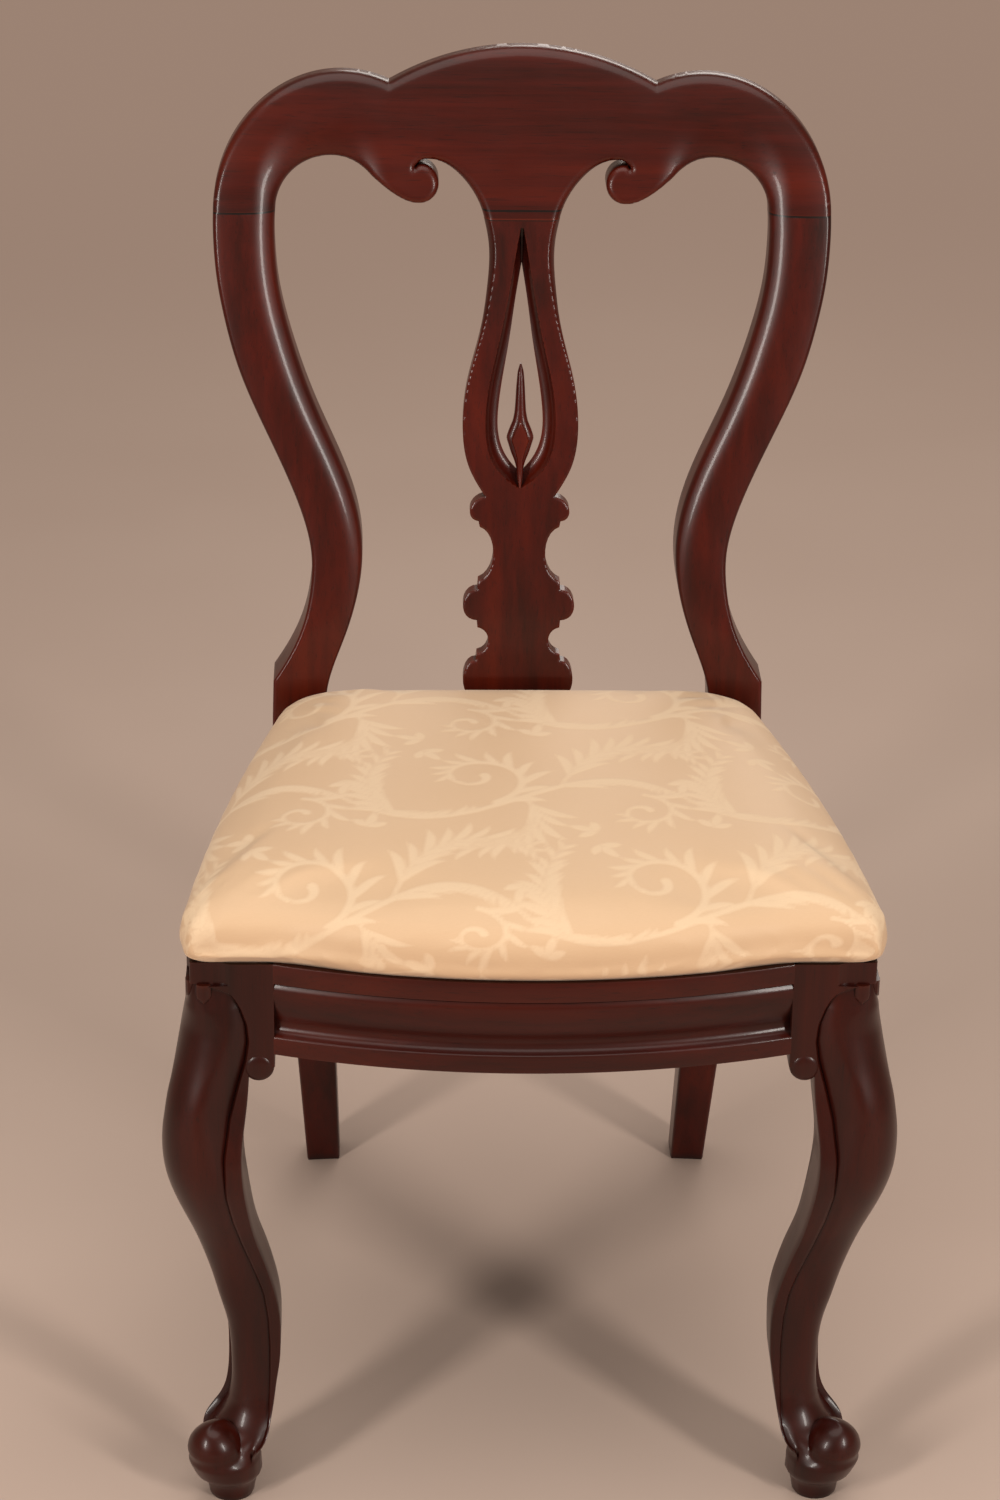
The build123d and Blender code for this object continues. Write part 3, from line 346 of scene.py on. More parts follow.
def make_piece(name, part, material, replaced, body="frame", sharp=35):
    """A mesh piece from points in millimetres, smooth but for its sharp edges."""
    mesh = bpy.data.meshes.new(name)
    mesh.from_pydata([tuple(v) for v in np.asarray(part[0], float) * MM], [], part[1])
    work = bmesh.new()
    work.from_mesh(mesh)
    bmesh.ops.remove_doubles(work, verts=work.verts, dist=0.00002)
    bmesh.ops.recalc_face_normals(work, faces=work.faces)
    work.to_mesh(mesh)
    work.free()
    mesh.materials.append(material)
    mesh.shade_smooth()
    mesh.set_sharp_from_angle(angle=math.radians(sharp))
    piece = placed(name, mesh)
    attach(piece, body)
    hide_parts(*replaced)
    return piece


def make_pair(name, right, material, node, sharp=35):
    """A piece on the right and its mirror image on the left."""
    left = right[0] * (-1, 1, 1), [face[::-1] for face in right[1]]
    for side, part in (("right", right), ("left", left)):
        make_piece(f"{name}_{side}", part, material, [f"{node}_{side}"], sharp=sharp)


def sweep(rings):
    """A closed solid from rings with equally many points, capped at both ends."""
    around, faces = len(rings[0]), []
    for low in range(0, (len(rings) - 1) * around, around):
        for k in range(around):
            after = (k + 1) % around
            faces.append((low + k, low + after, low + around + after, low + around + k))
    last = (len(rings) - 1) * around
    faces += [tuple(range(around))[::-1], tuple(range(last, last + around))]
    return np.concatenate(rings), faces


def lathe(profile, origin, axis, around):
    """Points turned about an axis: the profile is (radius, distance along the axis)."""
    axis = Vector(axis).normalized()
    side = axis.orthogonal().normalized()
    other = axis.cross(side)
    angles = [2 * math.pi * k / around for k in range(around)]
    spokes = [side * math.cos(angle) + other * math.sin(angle) for angle in angles]
    return sweep([
        np.array([tuple(Vector(origin) + axis * reach + spoke * radius) for spoke in spokes])
        for radius, reach in profile
    ])


def joined(*parts):
    """Several (verts, faces) as one."""
    verts, faces, base = [], [], 0
    for part_verts, part_faces in parts:
        verts.append(np.asarray(part_verts, float))
        faces += [tuple(base + k for k in face) for face in part_faces]
        base += len(part_verts)
    return np.concatenate(verts), faces


def both_sides(half):
    """A line down the right side, led over to its mirror image on the left."""
    return list(half) + [(-x, z) for x, z in half[::-1]]


def closed_loop(half):
    """A loop from its right half, whose two ends lie on the middle line."""
    return half + [(-x, z) for x, z in half[-2:0:-1]]


# ---------------------------------------------------------- the back's surface
WELL_BACK_Y = 139.4
BACK_START_Y = 149.9
BACK_START_Z = 471.0
BACK_RADIUS = 1791.0
AXIS_Y = BACK_START_Y - BACK_RADIUS
POST_KNEE_Z = 353.0
JOINT_Z = 815.0
NECK_Z = 808.5
TOP_Z = 928.0


def sweep_back(z):
    """How far the rear leg has swept back at a height below the seat."""
    t = np.linspace(0, 1, 60)
    down = [(POST_KNEE_Z, 0.0), (POST_KNEE_Z - 25, 0.0), (140.0, 62.04), (0.0, 94.0)]
    shares = [(1 - t) ** 3, 3 * (1 - t) ** 2 * t, 3 * (1 - t) * t**2, t**3]
    height = sum(w * p[0] for w, p in zip(shares, down))
    back = sum(w * p[1] for w, p in zip(shares, down))
    return np.interp(z, height[::-1], back[::-1])


def back_y(x, z, behind=0.0):
    """Y of the curved, raked front surface of the chair's back, or of a point behind it."""
    rise = np.maximum(np.asarray(z, float) - BACK_START_Z, 0)
    front = BACK_RADIUS + 0.134 * rise + 0.000192 * rise**2
    front = front + np.where(np.asarray(z) < POST_KNEE_Z, sweep_back(z), 0.0)
    return AXIS_Y + np.sqrt((front + behind) ** 2 - np.asarray(x, float) ** 2)


def on_back(x, z, behind):
    """Points of the chair's back at places across and heights, some way behind its front."""
    x = np.asarray(x, float)
    z = np.full_like(x, z)
    return np.stack([x, back_y(x, z, behind), z], 1)


# ------------------------------------------------------------------- rear posts
# height and distance from the middle of the right post's two edges
POST_OUTER = [
    (0, 163.0), (353, 184.5), (437, 185.3), (470.5, 184.4), (482, 176.8), (493, 170.5),
    (513, 162.0), (540, 156.4), (565, 155.7), (590, 161.0), (620, 172.3), (658, 189.7),
    (700, 208.0), (742, 220.0), (762, 224.0), (797, 227.4), (815, 227.5), (833, 226.2),
]
POST_INNER = [
    (0, 136.5), (353, 145.0), (428, 144.6), (467, 143.0), (503, 130.5), (532, 121.6),
    (565, 117.5), (600, 122.3), (630, 132.8), (672, 151.5), (725, 170.5), (765, 180.0),
    (793, 182.4), (815, 182.0), (833, 179.0),
]


def post_width(z):
    """Outer and inner edge of the right post at a height: straight lines, with curves above."""
    edges = []
    for table, straight in ((POST_OUTER, 4), (POST_INNER, 3)):
        curve_z = table[straight - 1][0]
        if z < curve_z:
            edges.append(float(np.interp(z, *np.array(table[:straight]).T)))
        else:
            edges.append(float(smooth_through(table[straight - 1:], z)))
    return edges


# the ridge down the front of each post: its share of the width, and the slopes beside it
RIDGE = 0.62
OUTER_FALL = 0.24
INNER_FALL = 0.66


def fall(gap, wide, slope):
    """How far a surface has curved down, this far from an edge, towards its slope there."""
    return slope * np.maximum(wide - gap, 0) ** 2 / (2 * wide)


def post_ring(z, shrink=0.0):
    """One section of the right post: a soft ridge in front above the seat, square below."""
    outer, inner = post_width(z)
    width = outer - inner
    depth = np.interp(z, [0, 353, 471, 815], [30.0, 40.0, 40.0, 26.0])
    soft = float(ease(480, 600, z))
    edge = blend(soft, 2.5, 3.6)
    quarter = np.linspace(0, math.pi / 2, 9)
    rounded = edge * (1 - np.cos(quarter))
    u = np.concatenate([rounded, np.linspace(edge, width - edge, 13)[1:-1], width - rounded[::-1]])
    d = edge * (1 - np.sin(np.concatenate([quarter, np.full(11, math.pi / 2), quarter[::-1]])))
    d += soft * (fall(u, RIDGE * width, OUTER_FALL) + fall(width - u, (1 - RIDGE) * width, INNER_FALL))
    back_round, thirds = 3.5, np.array([0.33, 0.66])
    bend = back_round * (1 - np.cos(quarter[::2]))
    behind = depth - back_round * (1 - np.sin(quarter[::2]))
    inner_side = blend(thirds, d[-1], depth - back_round)
    outer_side = blend(thirds, depth - back_round, d[0])
    across = blend(thirds, width - back_round, back_round)
    u = np.concatenate([u, (width, width), width - bend, across, bend[::-1], (0, 0)])
    d = np.concatenate([d, inner_side, behind, (depth, depth), behind[::-1], outer_side])
    u, d = np.clip(u, shrink, width - shrink), np.clip(d, shrink, depth - shrink)
    return on_back(outer - u, z, d)


def make_posts(material):
    heights = np.concatenate([
        [0.0, 1.5], np.arange(8, 350, 9.0), np.arange(350, 470, 6.0), [470.5],
        np.arange(473, 812, 3.5), [JOINT_Z - 0.5, JOINT_Z],
    ])
    end_bevels = {0.0: 0.8, JOINT_Z: 0.35}
    rings = [post_ring(z, end_bevels.get(z, 0.0)) for z in heights]
    make_pair("post", sweep(rings), material, "rear_post")


# ----------------------------------------------------------- reliefs of the back
def nearest_on(line, points, closed=False):
    """Distance to a polyline, the nearest place on it, and its running index there."""
    line = np.asarray(line, float)
    start = line if closed else line[:-1]
    step = (np.roll(line, -1, 0) if closed else line[1:]) - start
    length = (step**2).sum(1) + 1e-12
    best, place, index = [], [], []
    for chunk in np.array_split(points, max(1, len(points) // 4000)):
        away = chunk[:, None, :] - start[None]
        t = np.clip((away * step).sum(2) / length, 0, 1)
        gap = ((away - t[..., None] * step) ** 2).sum(2)
        k = gap.argmin(1)
        rows = np.arange(len(chunk))
        best.append(np.sqrt(gap[rows, k]))
        place.append(start[k] + t[rows, k, None] * step[k])
        index.append(k + t[rows, k])
    return np.concatenate(best), np.concatenate(place), np.concatenate(index)


def inside(loops, points):
    """Whether points lie inside a set of closed outlines, holes left out."""
    hits = np.zeros(len(points), int)
    for loop in loops:
        loop = np.asarray(loop, float)
        x0, z0 = loop.T
        x1, z1 = np.roll(loop, -1, 0).T
        for chunk in np.array_split(np.arange(len(points)), max(1, len(points) // 8000)):
            px, pz = points[chunk, 0, None], points[chunk, 1, None]
            spans = (z0 > pz) != (z1 > pz)
            rise = np.where(z1 == z0, 1e-12, z1 - z0)
            hits[chunk] += (spans & (px < (x1 - x0) * (pz - z0) / rise + x0)).sum(1)
    return hits % 2 == 1


def flat_grid(loops, pitch, corners=(), creases=()):
    """A grid of quads that fills the outlines, its rim and creases drawn onto the lines."""
    every = np.concatenate([np.asarray(loop, float) for loop in loops])
    low, high = every.min(0) - pitch, every.max(0) + pitch
    columns = int(math.ceil((high[0] - low[0]) / pitch)) + 1
    rows = int(math.ceil((high[1] - low[1]) / pitch)) + 1
    middle_x = (low[0] + high[0]) / 2
    xs = middle_x + (np.arange(columns) - (columns - 1) / 2) * pitch
    zs = low[1] + np.arange(rows) * pitch
    cell_x, cell_z = np.meshgrid((xs[1:] + xs[:-1]) / 2, (zs[1:] + zs[:-1]) / 2)
    full = inside(loops, np.stack([cell_x.ravel(), cell_z.ravel()], 1)).reshape(cell_x.shape)
    number = np.arange(rows * columns).reshape(rows, columns)
    quads = np.stack([number[:-1, :-1], number[:-1, 1:], number[1:, 1:], number[1:, :-1]], -1)[full]
    used, quads = np.unique(quads, return_inverse=True)
    quads = quads.reshape(-1, 4)
    grid_x, grid_z = np.meshgrid(xs, zs)
    flat = np.stack([grid_x.ravel(), grid_z.ravel()], 1)[used]
    edges = np.concatenate([quads[:, [k, (k + 1) % 4]] for k in range(4)])
    pairs, counts = np.unique(np.sort(edges, 1), axis=0, return_counts=True)
    rim_edges = {tuple(pair) for pair in pairs[counts == 1]}
    rim = np.unique(pairs[counts == 1])
    fixed = np.zeros(len(flat), bool)
    fixed[rim] = True
    choices = [nearest_on(loop, flat[rim], closed=True) for loop in loops]
    gaps = np.array([choice[0] for choice in choices])
    which = gaps.argmin(0)
    flat[rim] = np.stack([choice[1] for choice in choices])[which, np.arange(len(rim))]
    for corner in corners:
        away = ((flat[rim] - corner) ** 2).sum(1)
        flat[rim[away.argmin()]] = corner
    for crease in creases:
        gap, place, _ = nearest_on(crease, flat)
        near = (gap < 0.55 * pitch) & ~fixed
        flat[near] = place[near]
        fixed |= near
    total = np.zeros(len(flat))
    np.add.at(total, pairs.ravel(), 1)
    for _ in range(4):
        pull = np.zeros_like(flat)
        np.add.at(pull, pairs[:, 0], flat[pairs[:, 1]])
        np.add.at(pull, pairs[:, 1], flat[pairs[:, 0]])
        flat = np.where(fixed[:, None], flat, pull / total[:, None])
    rim_quads = [(a, b) for a, b in edges if (min(a, b), max(a, b)) in rim_edges]
    return flat, quads, rim_quads


def slab_from(quads, rim_edges, front, back):
    """A closed solid from a flat grid's quads and the 3-D points of its front and back sheets."""
    count = len(front)
    faces = [tuple(q) for q in quads] + [tuple(q[::-1] + count) for q in quads]
    faces += [(b, a, a + count, b + count) for a, b in rim_edges]
    return np.concatenate([front, back]), faces


def arc_points(centre, rx, rz, start, end, count):
    angles = np.radians(np.linspace(start, end, count))
    return [(centre[0] + rx * math.cos(a), centre[1] + rz * math.sin(a)) for a in angles]


def curve_points(controls, count):
    """A Bezier curve of any degree."""
    t = np.linspace(0, 1, count)[:, None]
    level = [np.array(c, float) + 0 * t for c in controls]
    while len(level) > 1:
        level = [blend(t, a, b) for a, b in zip(level, level[1:])]
    return [tuple(p) for p in level[0]]


NECK_HALF = 28.2
# the outer edge's notch, where the hoop's shoulder meets the arch
CUSP = (98.6, 903.2)
HOOK_TIP = (79.3, 844.6)


def crest_lines():
    """Right half of the crest: its outer edge, then its lower edge with the scroll."""
    shoulder_x, across, upright = 135, 92.5, 96
    rise, run = (CUSP[1] - JOINT_Z) / upright, (CUSP[0] - shoulder_x) / across
    cusp_angle = math.degrees(math.atan2(rise, run))
    outer = arc_points((shoulder_x, JOINT_Z), across, upright, 0, cusp_angle, 60)
    radius = (CUSP[0] ** 2 + (TOP_Z - CUSP[1]) ** 2) / (2 * (TOP_Z - CUSP[1]))
    spread = math.degrees(math.asin(CUSP[0] / radius))
    arch = arc_points((0, TOP_Z - radius), radius, radius, 90 - spread, 90, 30)
    lobe = arc_points((142, JOINT_Z), 40, 36.4, 0, 140, 44)
    lobe += curve_points([lobe[-1], (98, 828.0), (87, 819.6), (77, 819.6)], 14)[1:]
    scroll = arc_points((75.5, 833.4), 13.8, 13.8, -86, -264, 26)
    hook = curve_points([scroll[-1], (77, 847.2), HOOK_TIP], 6)[1:]
    hook += curve_points([hook[-1], (78.5, 848.5), (72.5, 850.6)], 6)[1:]
    neck = curve_points([hook[-1], (54, 851.5), (33, 829), (NECK_HALF, NECK_Z)], 40)[1:]
    return outer, arch[1:], lobe, scroll[1:], hook, neck


def make_crest(material):
    outer, arch, lobe, scroll, hook, neck = crest_lines()
    top_half = outer + arch
    under_half = lobe + scroll + hook + neck
    loop = both_sides(top_half) + both_sides([(-x, z) for x, z in under_half])
    corners = [(sign * x, z) for sign in (1, -1) for x, z in (
        outer[0], lobe[0], (NECK_HALF, NECK_Z), CUSP, hook[5], HOOK_TIP
    )]
    flat, quads, rim = flat_grid([loop], 1.6, corners)
    folded = np.abs(flat)
    # outer edge: a small rounding, and a gentle fall towards it
    gap_o, spot_o, at_o = nearest_on(top_half, folded)
    shoulder = 1 - ease(2, 26, at_o)
    wide_o = blend(shoulder, 5.0, 3.6)
    # lower edge: a broad fall over the lobe, none at the scroll, a hollow band down the neck
    gap_i, spot_i, at_i = nearest_on(under_half, folded)
    neck_start = len(lobe + scroll + hook)
    on_neck = ease(neck_start, neck_start + 12, at_i)
    wide_i = blend(1 - ease(0, 10, at_i), blend(on_neck, 4.2, 6.5), 3.6)
    drop_i = blend(on_neck, wide_i, 9.0)
    moved = folded.copy()
    height = np.zeros(len(flat))
    nears = []
    for gap, spot, wide, drop in (
        (gap_o, spot_o, wide_o, wide_o), (gap_i, spot_i, wide_i, drop_i)
    ):
        theta = np.clip(gap / wide, 0, 1) * math.pi / 2
        rounded = wide * (1 - np.cos(theta))
        away = np.where(gap[:, None] < 1e-4, 0, (folded - spot) / np.maximum(gap, 1e-6)[:, None])
        moved += away * (rounded - np.minimum(gap, wide))[:, None]
        height += drop * (1 - np.sin(theta))
        nears.append(np.where(gap < wide, rounded, gap))
    joint_width = outer[0][0] - lobe[0][0]
    height += fall(nears[0], blend(shoulder, 30.0, RIDGE * joint_width), OUTER_FALL)
    broad = ease(1, 22, at_i)
    lower_reach = blend(broad, (1 - RIDGE) * joint_width, 40.0)
    lower_fall = fall(nears[1], lower_reach, blend(broad, INNER_FALL, 0.46))
    height += ease(96, 134, folded[:, 0]) * lower_fall
    moved[:, 0] *= np.where(flat[:, 0] < 0, -1, 1)
    thick = np.interp(flat[:, 1], [NECK_Z, TOP_Z], [26.0, 22.0])
    back_round = 4
    theta = np.clip(np.minimum(gap_o, gap_i) / back_round, 0, 1) * math.pi / 2
    back = on_back(*flat.T, thick - back_round * (1 - np.sin(theta)))
    part = slab_from(quads, rim, on_back(*moved.T, height), back)
    make_piece("crest", part, material, ["crest_rail"], sharp=40)


# ----------------------------------------------------------------------- splat
SPLAT_DEPTH = 12.0
NECK_FOOT_Z = 608
# height and half width of the splat's neck
SPLAT_SIDE = [
    (NECK_Z, NECK_HALF), (795, 25.2), (781.5, 24.0), (758, 25.5), (732, 29.3), (710, 34.9),
    (689, 40.2), (666, 42.9), (646, 42.2), (627.5, 37.3), (613.7, 29.7), (NECK_FOOT_Z, 26.0),
]
# curves and straight steps down the splat's side, from the neck's foot to the shoe
SPLAT_EARS = [
    [(26, NECK_FOOT_Z), (30, 607.5), (38.6, 604), (39, 597), (38.5, 590.5), (30.7, 589.5)],
    [(30.7, 589.5), (29.8, 585.3)],
    [(29.8, 585.3), (19.6, 582), (15.8, 566), (19.5, 548), (30.7, 544.2)],
    [(30.7, 544.2), (31.2, 538.0)],
    [(31.2, 538), (37, 538.5), (43.5, 533), (43.5, 526), (43.5, 517), (37, 515), (31.4, 514.5)],
    [(31.4, 514.5), (30.9, 509.1)],
    [(30.9, 509.1), (23, 507.5), (19.5, 500), (23, 490), (31.2, 488.8)],
    [(31.2, 488.8), (32, 483.5)],
    [(32, 483.5), (38, 484), (43, 477), (43, 468), (43, 458), (36, 453), (32, 452)],
    [(32, 452), (32, 442)],
]
# height and half width of the teardrop, in the front surface and where it comes through
DROP_FRONT = [
    (808.2, 0.0), (797, 2.25), (777.5, 5.7), (752, 10.2), (723, 16.0), (698, 21.9), (676, 25.5),
    (658, 26.2), (637.5, 22.5), (624, 13.7), (614.0, 0.0),
]
DROP_BACK = [
    (776.0, 0.0), (748, 4.7), (720, 8.7), (695, 13.0), (672, 16.2), (655, 16.6), (640, 13.0),
    (629.5, 6.5), (623.0, 0.0),
]


def drop_line(table):
    """Right side of a teardrop, from its pointed top round to the middle of its foot."""
    heights, widths = np.array(table).T
    run = np.concatenate([[0], np.cumsum(np.hypot(np.diff(heights), np.diff(widths)))])
    at = np.linspace(0, run[-1], 90)
    z = smooth_through(list(zip(run, heights)), at)
    x = np.maximum(smooth_through(list(zip(run, widths)), at), 0)
    return list(zip(x, z))


def splat_outline():
    """Right half of the splat's outer edge, from the neck joint down to the shoe."""
    z = np.linspace(NECK_Z, NECK_FOOT_Z, 90)
    points = list(zip(smooth_through(SPLAT_SIDE, z), z))
    for controls in SPLAT_EARS:
        points += curve_points(controls, 12 if len(controls) > 2 else 3)[1:]
    return points


def make_splat(material):
    side = splat_outline()
    front_drop, back_drop = drop_line(DROP_FRONT), drop_line(DROP_BACK)
    crease = closed_loop(front_drop)
    ends = [side[0], side[-1]] + [controls[0] for controls in SPLAT_EARS[:-1]]
    corners = [(sign * x, z) for sign in (1, -1) for x, z in ends] + [back_drop[0]]
    outlines = [both_sides(side), closed_loop(back_drop)]
    flat, quads, rim = flat_grid(outlines, 1.1, corners, [crease])
    folded = np.abs(flat)
    gap, spot, _ = nearest_on(side, folded)
    # a broad hollow round the teardrop, deepest at the opening
    from_drop = nearest_on(front_drop, folded)[0]
    scoop = np.sqrt(np.clip(1 - (1 - np.minimum(from_drop / 9.6, 1)) ** 2, 0, 1))
    # a bevel down the neck's sides that dies out, and elsewhere a barely softened edge
    upper = ease(700, 800, spot[:, 1])
    theta = np.clip(gap / blend(upper, 1.2, 5.2), 0, 1) * math.pi / 2
    bevel = blend(upper, 0.9, 8.0) * (1 - np.sin(theta))
    height = np.where(inside([crease], flat), (SPLAT_DEPTH - 1.2) * scoop, bevel)
    back = on_back(*flat.T, SPLAT_DEPTH - (1 - np.clip(gap, 0, 1)))
    slab = slab_from(quads, rim, on_back(*flat.T, height), back)
    make_piece("splat_carved", joined(slab, spear(), kite()), material, ["splat"], sharp=32)


# how far the spear's middle and the kite's foot lie behind the front surface
SPEAR_BEHIND = 8.0


def spear():
    """Slim spear with a rounded ridge that stands in the teardrop."""
    halves = [
        (608, 2.6), (619, 2.4), (627, 2.6), (632.7, 4.2), (638, 6.6), (649.7, 10.4), (656, 8.2),
        (662, 5.6), (668, 4.4), (674.4, 3.9), (686, 3.3), (698, 2.3), (703.6, 0.5),
    ]
    z = np.concatenate([np.linspace(608, 702, 60), [703, 703.8]])
    half = np.interp(z, *np.array(halves).T)
    half[1:-1] = (half[:-2] + half[1:-1] * 2 + half[2:]) / 4
    angles = np.linspace(0, 2 * math.pi, 20, endpoint=False)
    up = np.sin(angles)
    rings = []
    for height, reach in zip(z, half):
        lift = np.where(up > 0, 4.2, 3.4) * (0.45 + 0.55 * ease(0, 4, reach))
        behind = SPEAR_BEHIND - lift * np.sign(up) * np.abs(up) ** 0.8
        rings.append(on_back(reach * np.cos(angles), height, behind))
    return sweep(rings)


def kite():
    """Raised kite on the spear, its tail running down over the hollow."""
    halves = [
        (613.5, 0.9), (619, 1.6), (635, 2.3), (640, 3.6), (649.6, 6.7), (655, 4.6), (663.4, 0.4)
    ]
    z = [613.5, 619, 627, 635, 638, 641, 644, 647, 649.6, 651, 653, 655, 658, 661, 663.4]
    behind = np.array([SPEAR_BEHIND, 1.6, 0.4, 0.1, 0.4, 1.6, SPEAR_BEHIND])
    rings = []
    for height, reach in zip(z, np.interp(z, *np.array(halves).T)):
        top = reach - min(0.8, reach * 0.5)
        rings.append(on_back([reach, reach, top, 0, -top, -reach, -reach], height, behind))
    return sweep(rings)


# ------------------------------------------------------------------- front legs
HALF_FRONT = 235.0
LEG_FACE_Y = -240.1
HEAD = 60.0
RAIL_TOP = 428.0
EAR_Z = 349.0
HEAD_FOOT = 411.4
# below this the section stays, and turns into the round foot
ANKLE_Z = 44.0
# the small bevel on the inner edge
ARRIS = 1.3
# by height: how far the outer faces stand out past the head
LEG_OUT = [
    (20, -8.0), (32, -4.0), (44, -2.0), (50, -6.0), (56, -11.5), (62, -16.3), (70, -20.6),
    (78, -22.6), (100, -24.0), (115, -23.6), (132, -21.6), (150, -17.6), (170, -13.2),
    (190, -8.0), (210, -1.9), (230, 5.7), (250, 12.7), (268, 17.0), (284, 18.4), (303, 17.9),
    (325, 14.9), (346, 9.8), (380, 3.0), (411, -1.4), (430, -1.6),
]
# by height: the distance in from the head's outer faces of the inner edge, and of the line
# where the outer margin steps down to the rounded field; and the depths of groove and field
LEG_INNER = [
    (20, 46.0), (34, 48.5), (44, 50.5), (54, 52.5), (62, 54.3), (75, 56.7), (90, 58.7),
    (105, 60.9), (120, 61.6), (138, 61.4), (155, 59.2), (172, 55.5), (190, 51.0), (210, 45.6),
    (230, 42.0), (250, 39.4), (270, 37.4), (290, 37.2), (310, 39.4), (330, 41.6), (349, 42.5),
    (430, 42.5),
]
LEG_STEP = [
    (42.3, 43.8), (47.6, 48.3), (58.5, 51.6), (71, 52.4), (83, 53.0), (97, 53.4), (114, 53.6),
    (139, 52.5), (160, 49.7), (181, 43.6), (206, 35.9), (230, 29.9), (255, 25.6), (284, 24.6),
    (312, 28.4), (336, 34.4), (354, 39.4), (369, 41.4), (382, 40.2), (394, 36.2), (401, 32.5),
    (405.5, 29.0), (409, 22.0), (411, 14.0),
]
LEG_GROOVE = [(39, 3.5), (50, 5.5), (64, 4.5), (81, 3.0), (138, 2.4), (406, 2.6), (411, 1.2)]
LEG_SUNK = [
    (44, 10.0), (50, 8.0), (56, 6.5), (62, 5.0), (66, 4.2), (72, 3.2), (101, 2.2), (148, 1.2),
    (208, 0.0), (392, 0.0), (404, 1.8), (411, 3.0),
]
# height, place of the middle and radius of the round foot
PEG = [
    (0, 26.0, 15.2), (1.2, 26.0, 15.9), (8, 26.0, 17.0), (14, 25.6, 18.8), (21, 24.6, 20.8),
    (30, 23.6, 22.2), (40, 23.2, 23.2), (60, 24.5, 26.0),
]
# the toe's place in from the head's outer faces, height, and half its size across and upwards
TOE = (15.0, 43.5, 19.6, 21.0)


def lean(z):
    """How far the foot is carried forward of its place under the head."""
    return 15.0 * (1 - float(ease(45, 190, z)))


def leg_section(z):
    """Points of the right front leg's front face, from its inner edge to the diagonal."""
    heads = z > HEAD_FOOT
    step, groove, sunk = (
        float(np.interp(z, *np.array(table).T)) for table in (LEG_STEP, LEG_GROOVE, LEG_SUNK)
    )
    if heads:
        step, groove = 30.0, 0.0
    out = 0.0 if heads else float(smooth_through(LEG_OUT, z))
    edge = HEAD if z > EAR_Z else float(smooth_through(LEG_INNER, z))
    margin = -out * (1 - float(ease(255, 350, z)))
    field = out - sunk
    radius = 26.0
    for start, end, beyond in ((48, 100, 17.0), (150, 270, 33.0), (372, 410, 7.0)):
        radius = blend(float(ease(start, end, z)), radius, beyond)
    radius = 2.5 if heads else min(radius, step + field - 1)
    sink = margin + groove + field
    reach = min(26.0, 1.5 * abs(sink) + 5.0, 0.8 * (step + field))

    def surface(p):
        turned = np.clip((p + field) / radius, 0, 1)
        corner = radius * (1 - (1 - (1 - turned) ** 2.35) ** (1 / 2.35))
        shoulder = sink * np.clip(1 - (step - p) / reach, 0, 1) ** 2
        return corner + shoulder - field

    low, high = -field, -field + radius
    for _ in range(40):
        middle = (low + high) / 2
        low, high = (middle, high) if surface(middle) > middle else (low, middle)
    across = blend(np.linspace(0, 1, 26) ** 0.85, step, high)
    inner = [(edge, margin + ARRIS), (edge - 0.4, margin + 0.4), (edge - ARRIS, margin)]
    inner += [(blend(s, edge - ARRIS, step + 1.5), margin) for s in (0.4, 0.8, 1.0)]
    inner += [(step + 0.6, margin + 0.3 * groove), (step + 0.15, margin + 0.85 * groove)]
    return np.array(inner + list(zip(across, surface(across)))), edge, margin


def leg_ring(z):
    """A whole section of the right front leg at a height."""
    half, edge, margin = leg_section(max(z, ANKLE_Z))
    other = half[-2::-1, ::-1]
    corner = 1.5 if z > EAR_Z else 6.0
    turn = np.linspace(0, math.pi / 2, 6)
    inner = edge - corner + corner * np.stack([np.sin(turn), np.cos(turn)], 1)
    start = margin + ARRIS
    middle = np.array([(blend(s, start, edge - corner), edge) for s in (0.25, 0.5, 0.75)])
    ring = np.concatenate([half, other, middle, inner, middle[::-1, ::-1]])
    peg_middle, peg_radius = (float(np.interp(z, *np.array(PEG).T[[0, k]])) for k in (1, 2))
    spoke = ring - peg_middle
    spoke /= np.hypot(*spoke.T)[:, None]
    ring = blend(1 - float(ease(33, 58, z)), ring, peg_middle + spoke * peg_radius)
    inset, level, across, upright = TOE
    above = max(z - level, 0) / upright
    below = min(max(level - z, 0) / 30.0, 1.0) ** 1.25
    if below < 1 and above < 0.95:
        # under its middle the toe runs down into the foot, above it the knob covers it
        shown = 1 - float(ease(0.05, 0.4, above))
        place = inset + 10.8 * below
        toe = (across - 0.05 - 0.7 * below) * math.sqrt(1 - above**2) * blend(shown, 0.6, 1.0)
        reach = np.hypot(*(ring - peg_middle).T)
        along_toe = spoke @ np.full(2, place - peg_middle)
        beyond = toe**2 - 2 * (place - peg_middle) ** 2 + along_toe**2
        bulge = np.maximum(along_toe + np.sqrt(np.maximum(beyond, 0)), 0)
        soft = 8.0 * float(ease(0.02, 0.3, below) * (1 - ease(0.7, 1, below)))
        reach = (reach + bulge + np.sqrt((reach - bulge) ** 2 + soft**2)) / 2
        ring = peg_middle + spoke * reach[:, None]
    return np.stack([
        HALF_FRONT - ring[:, 0], LEG_FACE_Y + ring[:, 1] - lean(z), np.full(len(ring), float(z))
    ], 1)


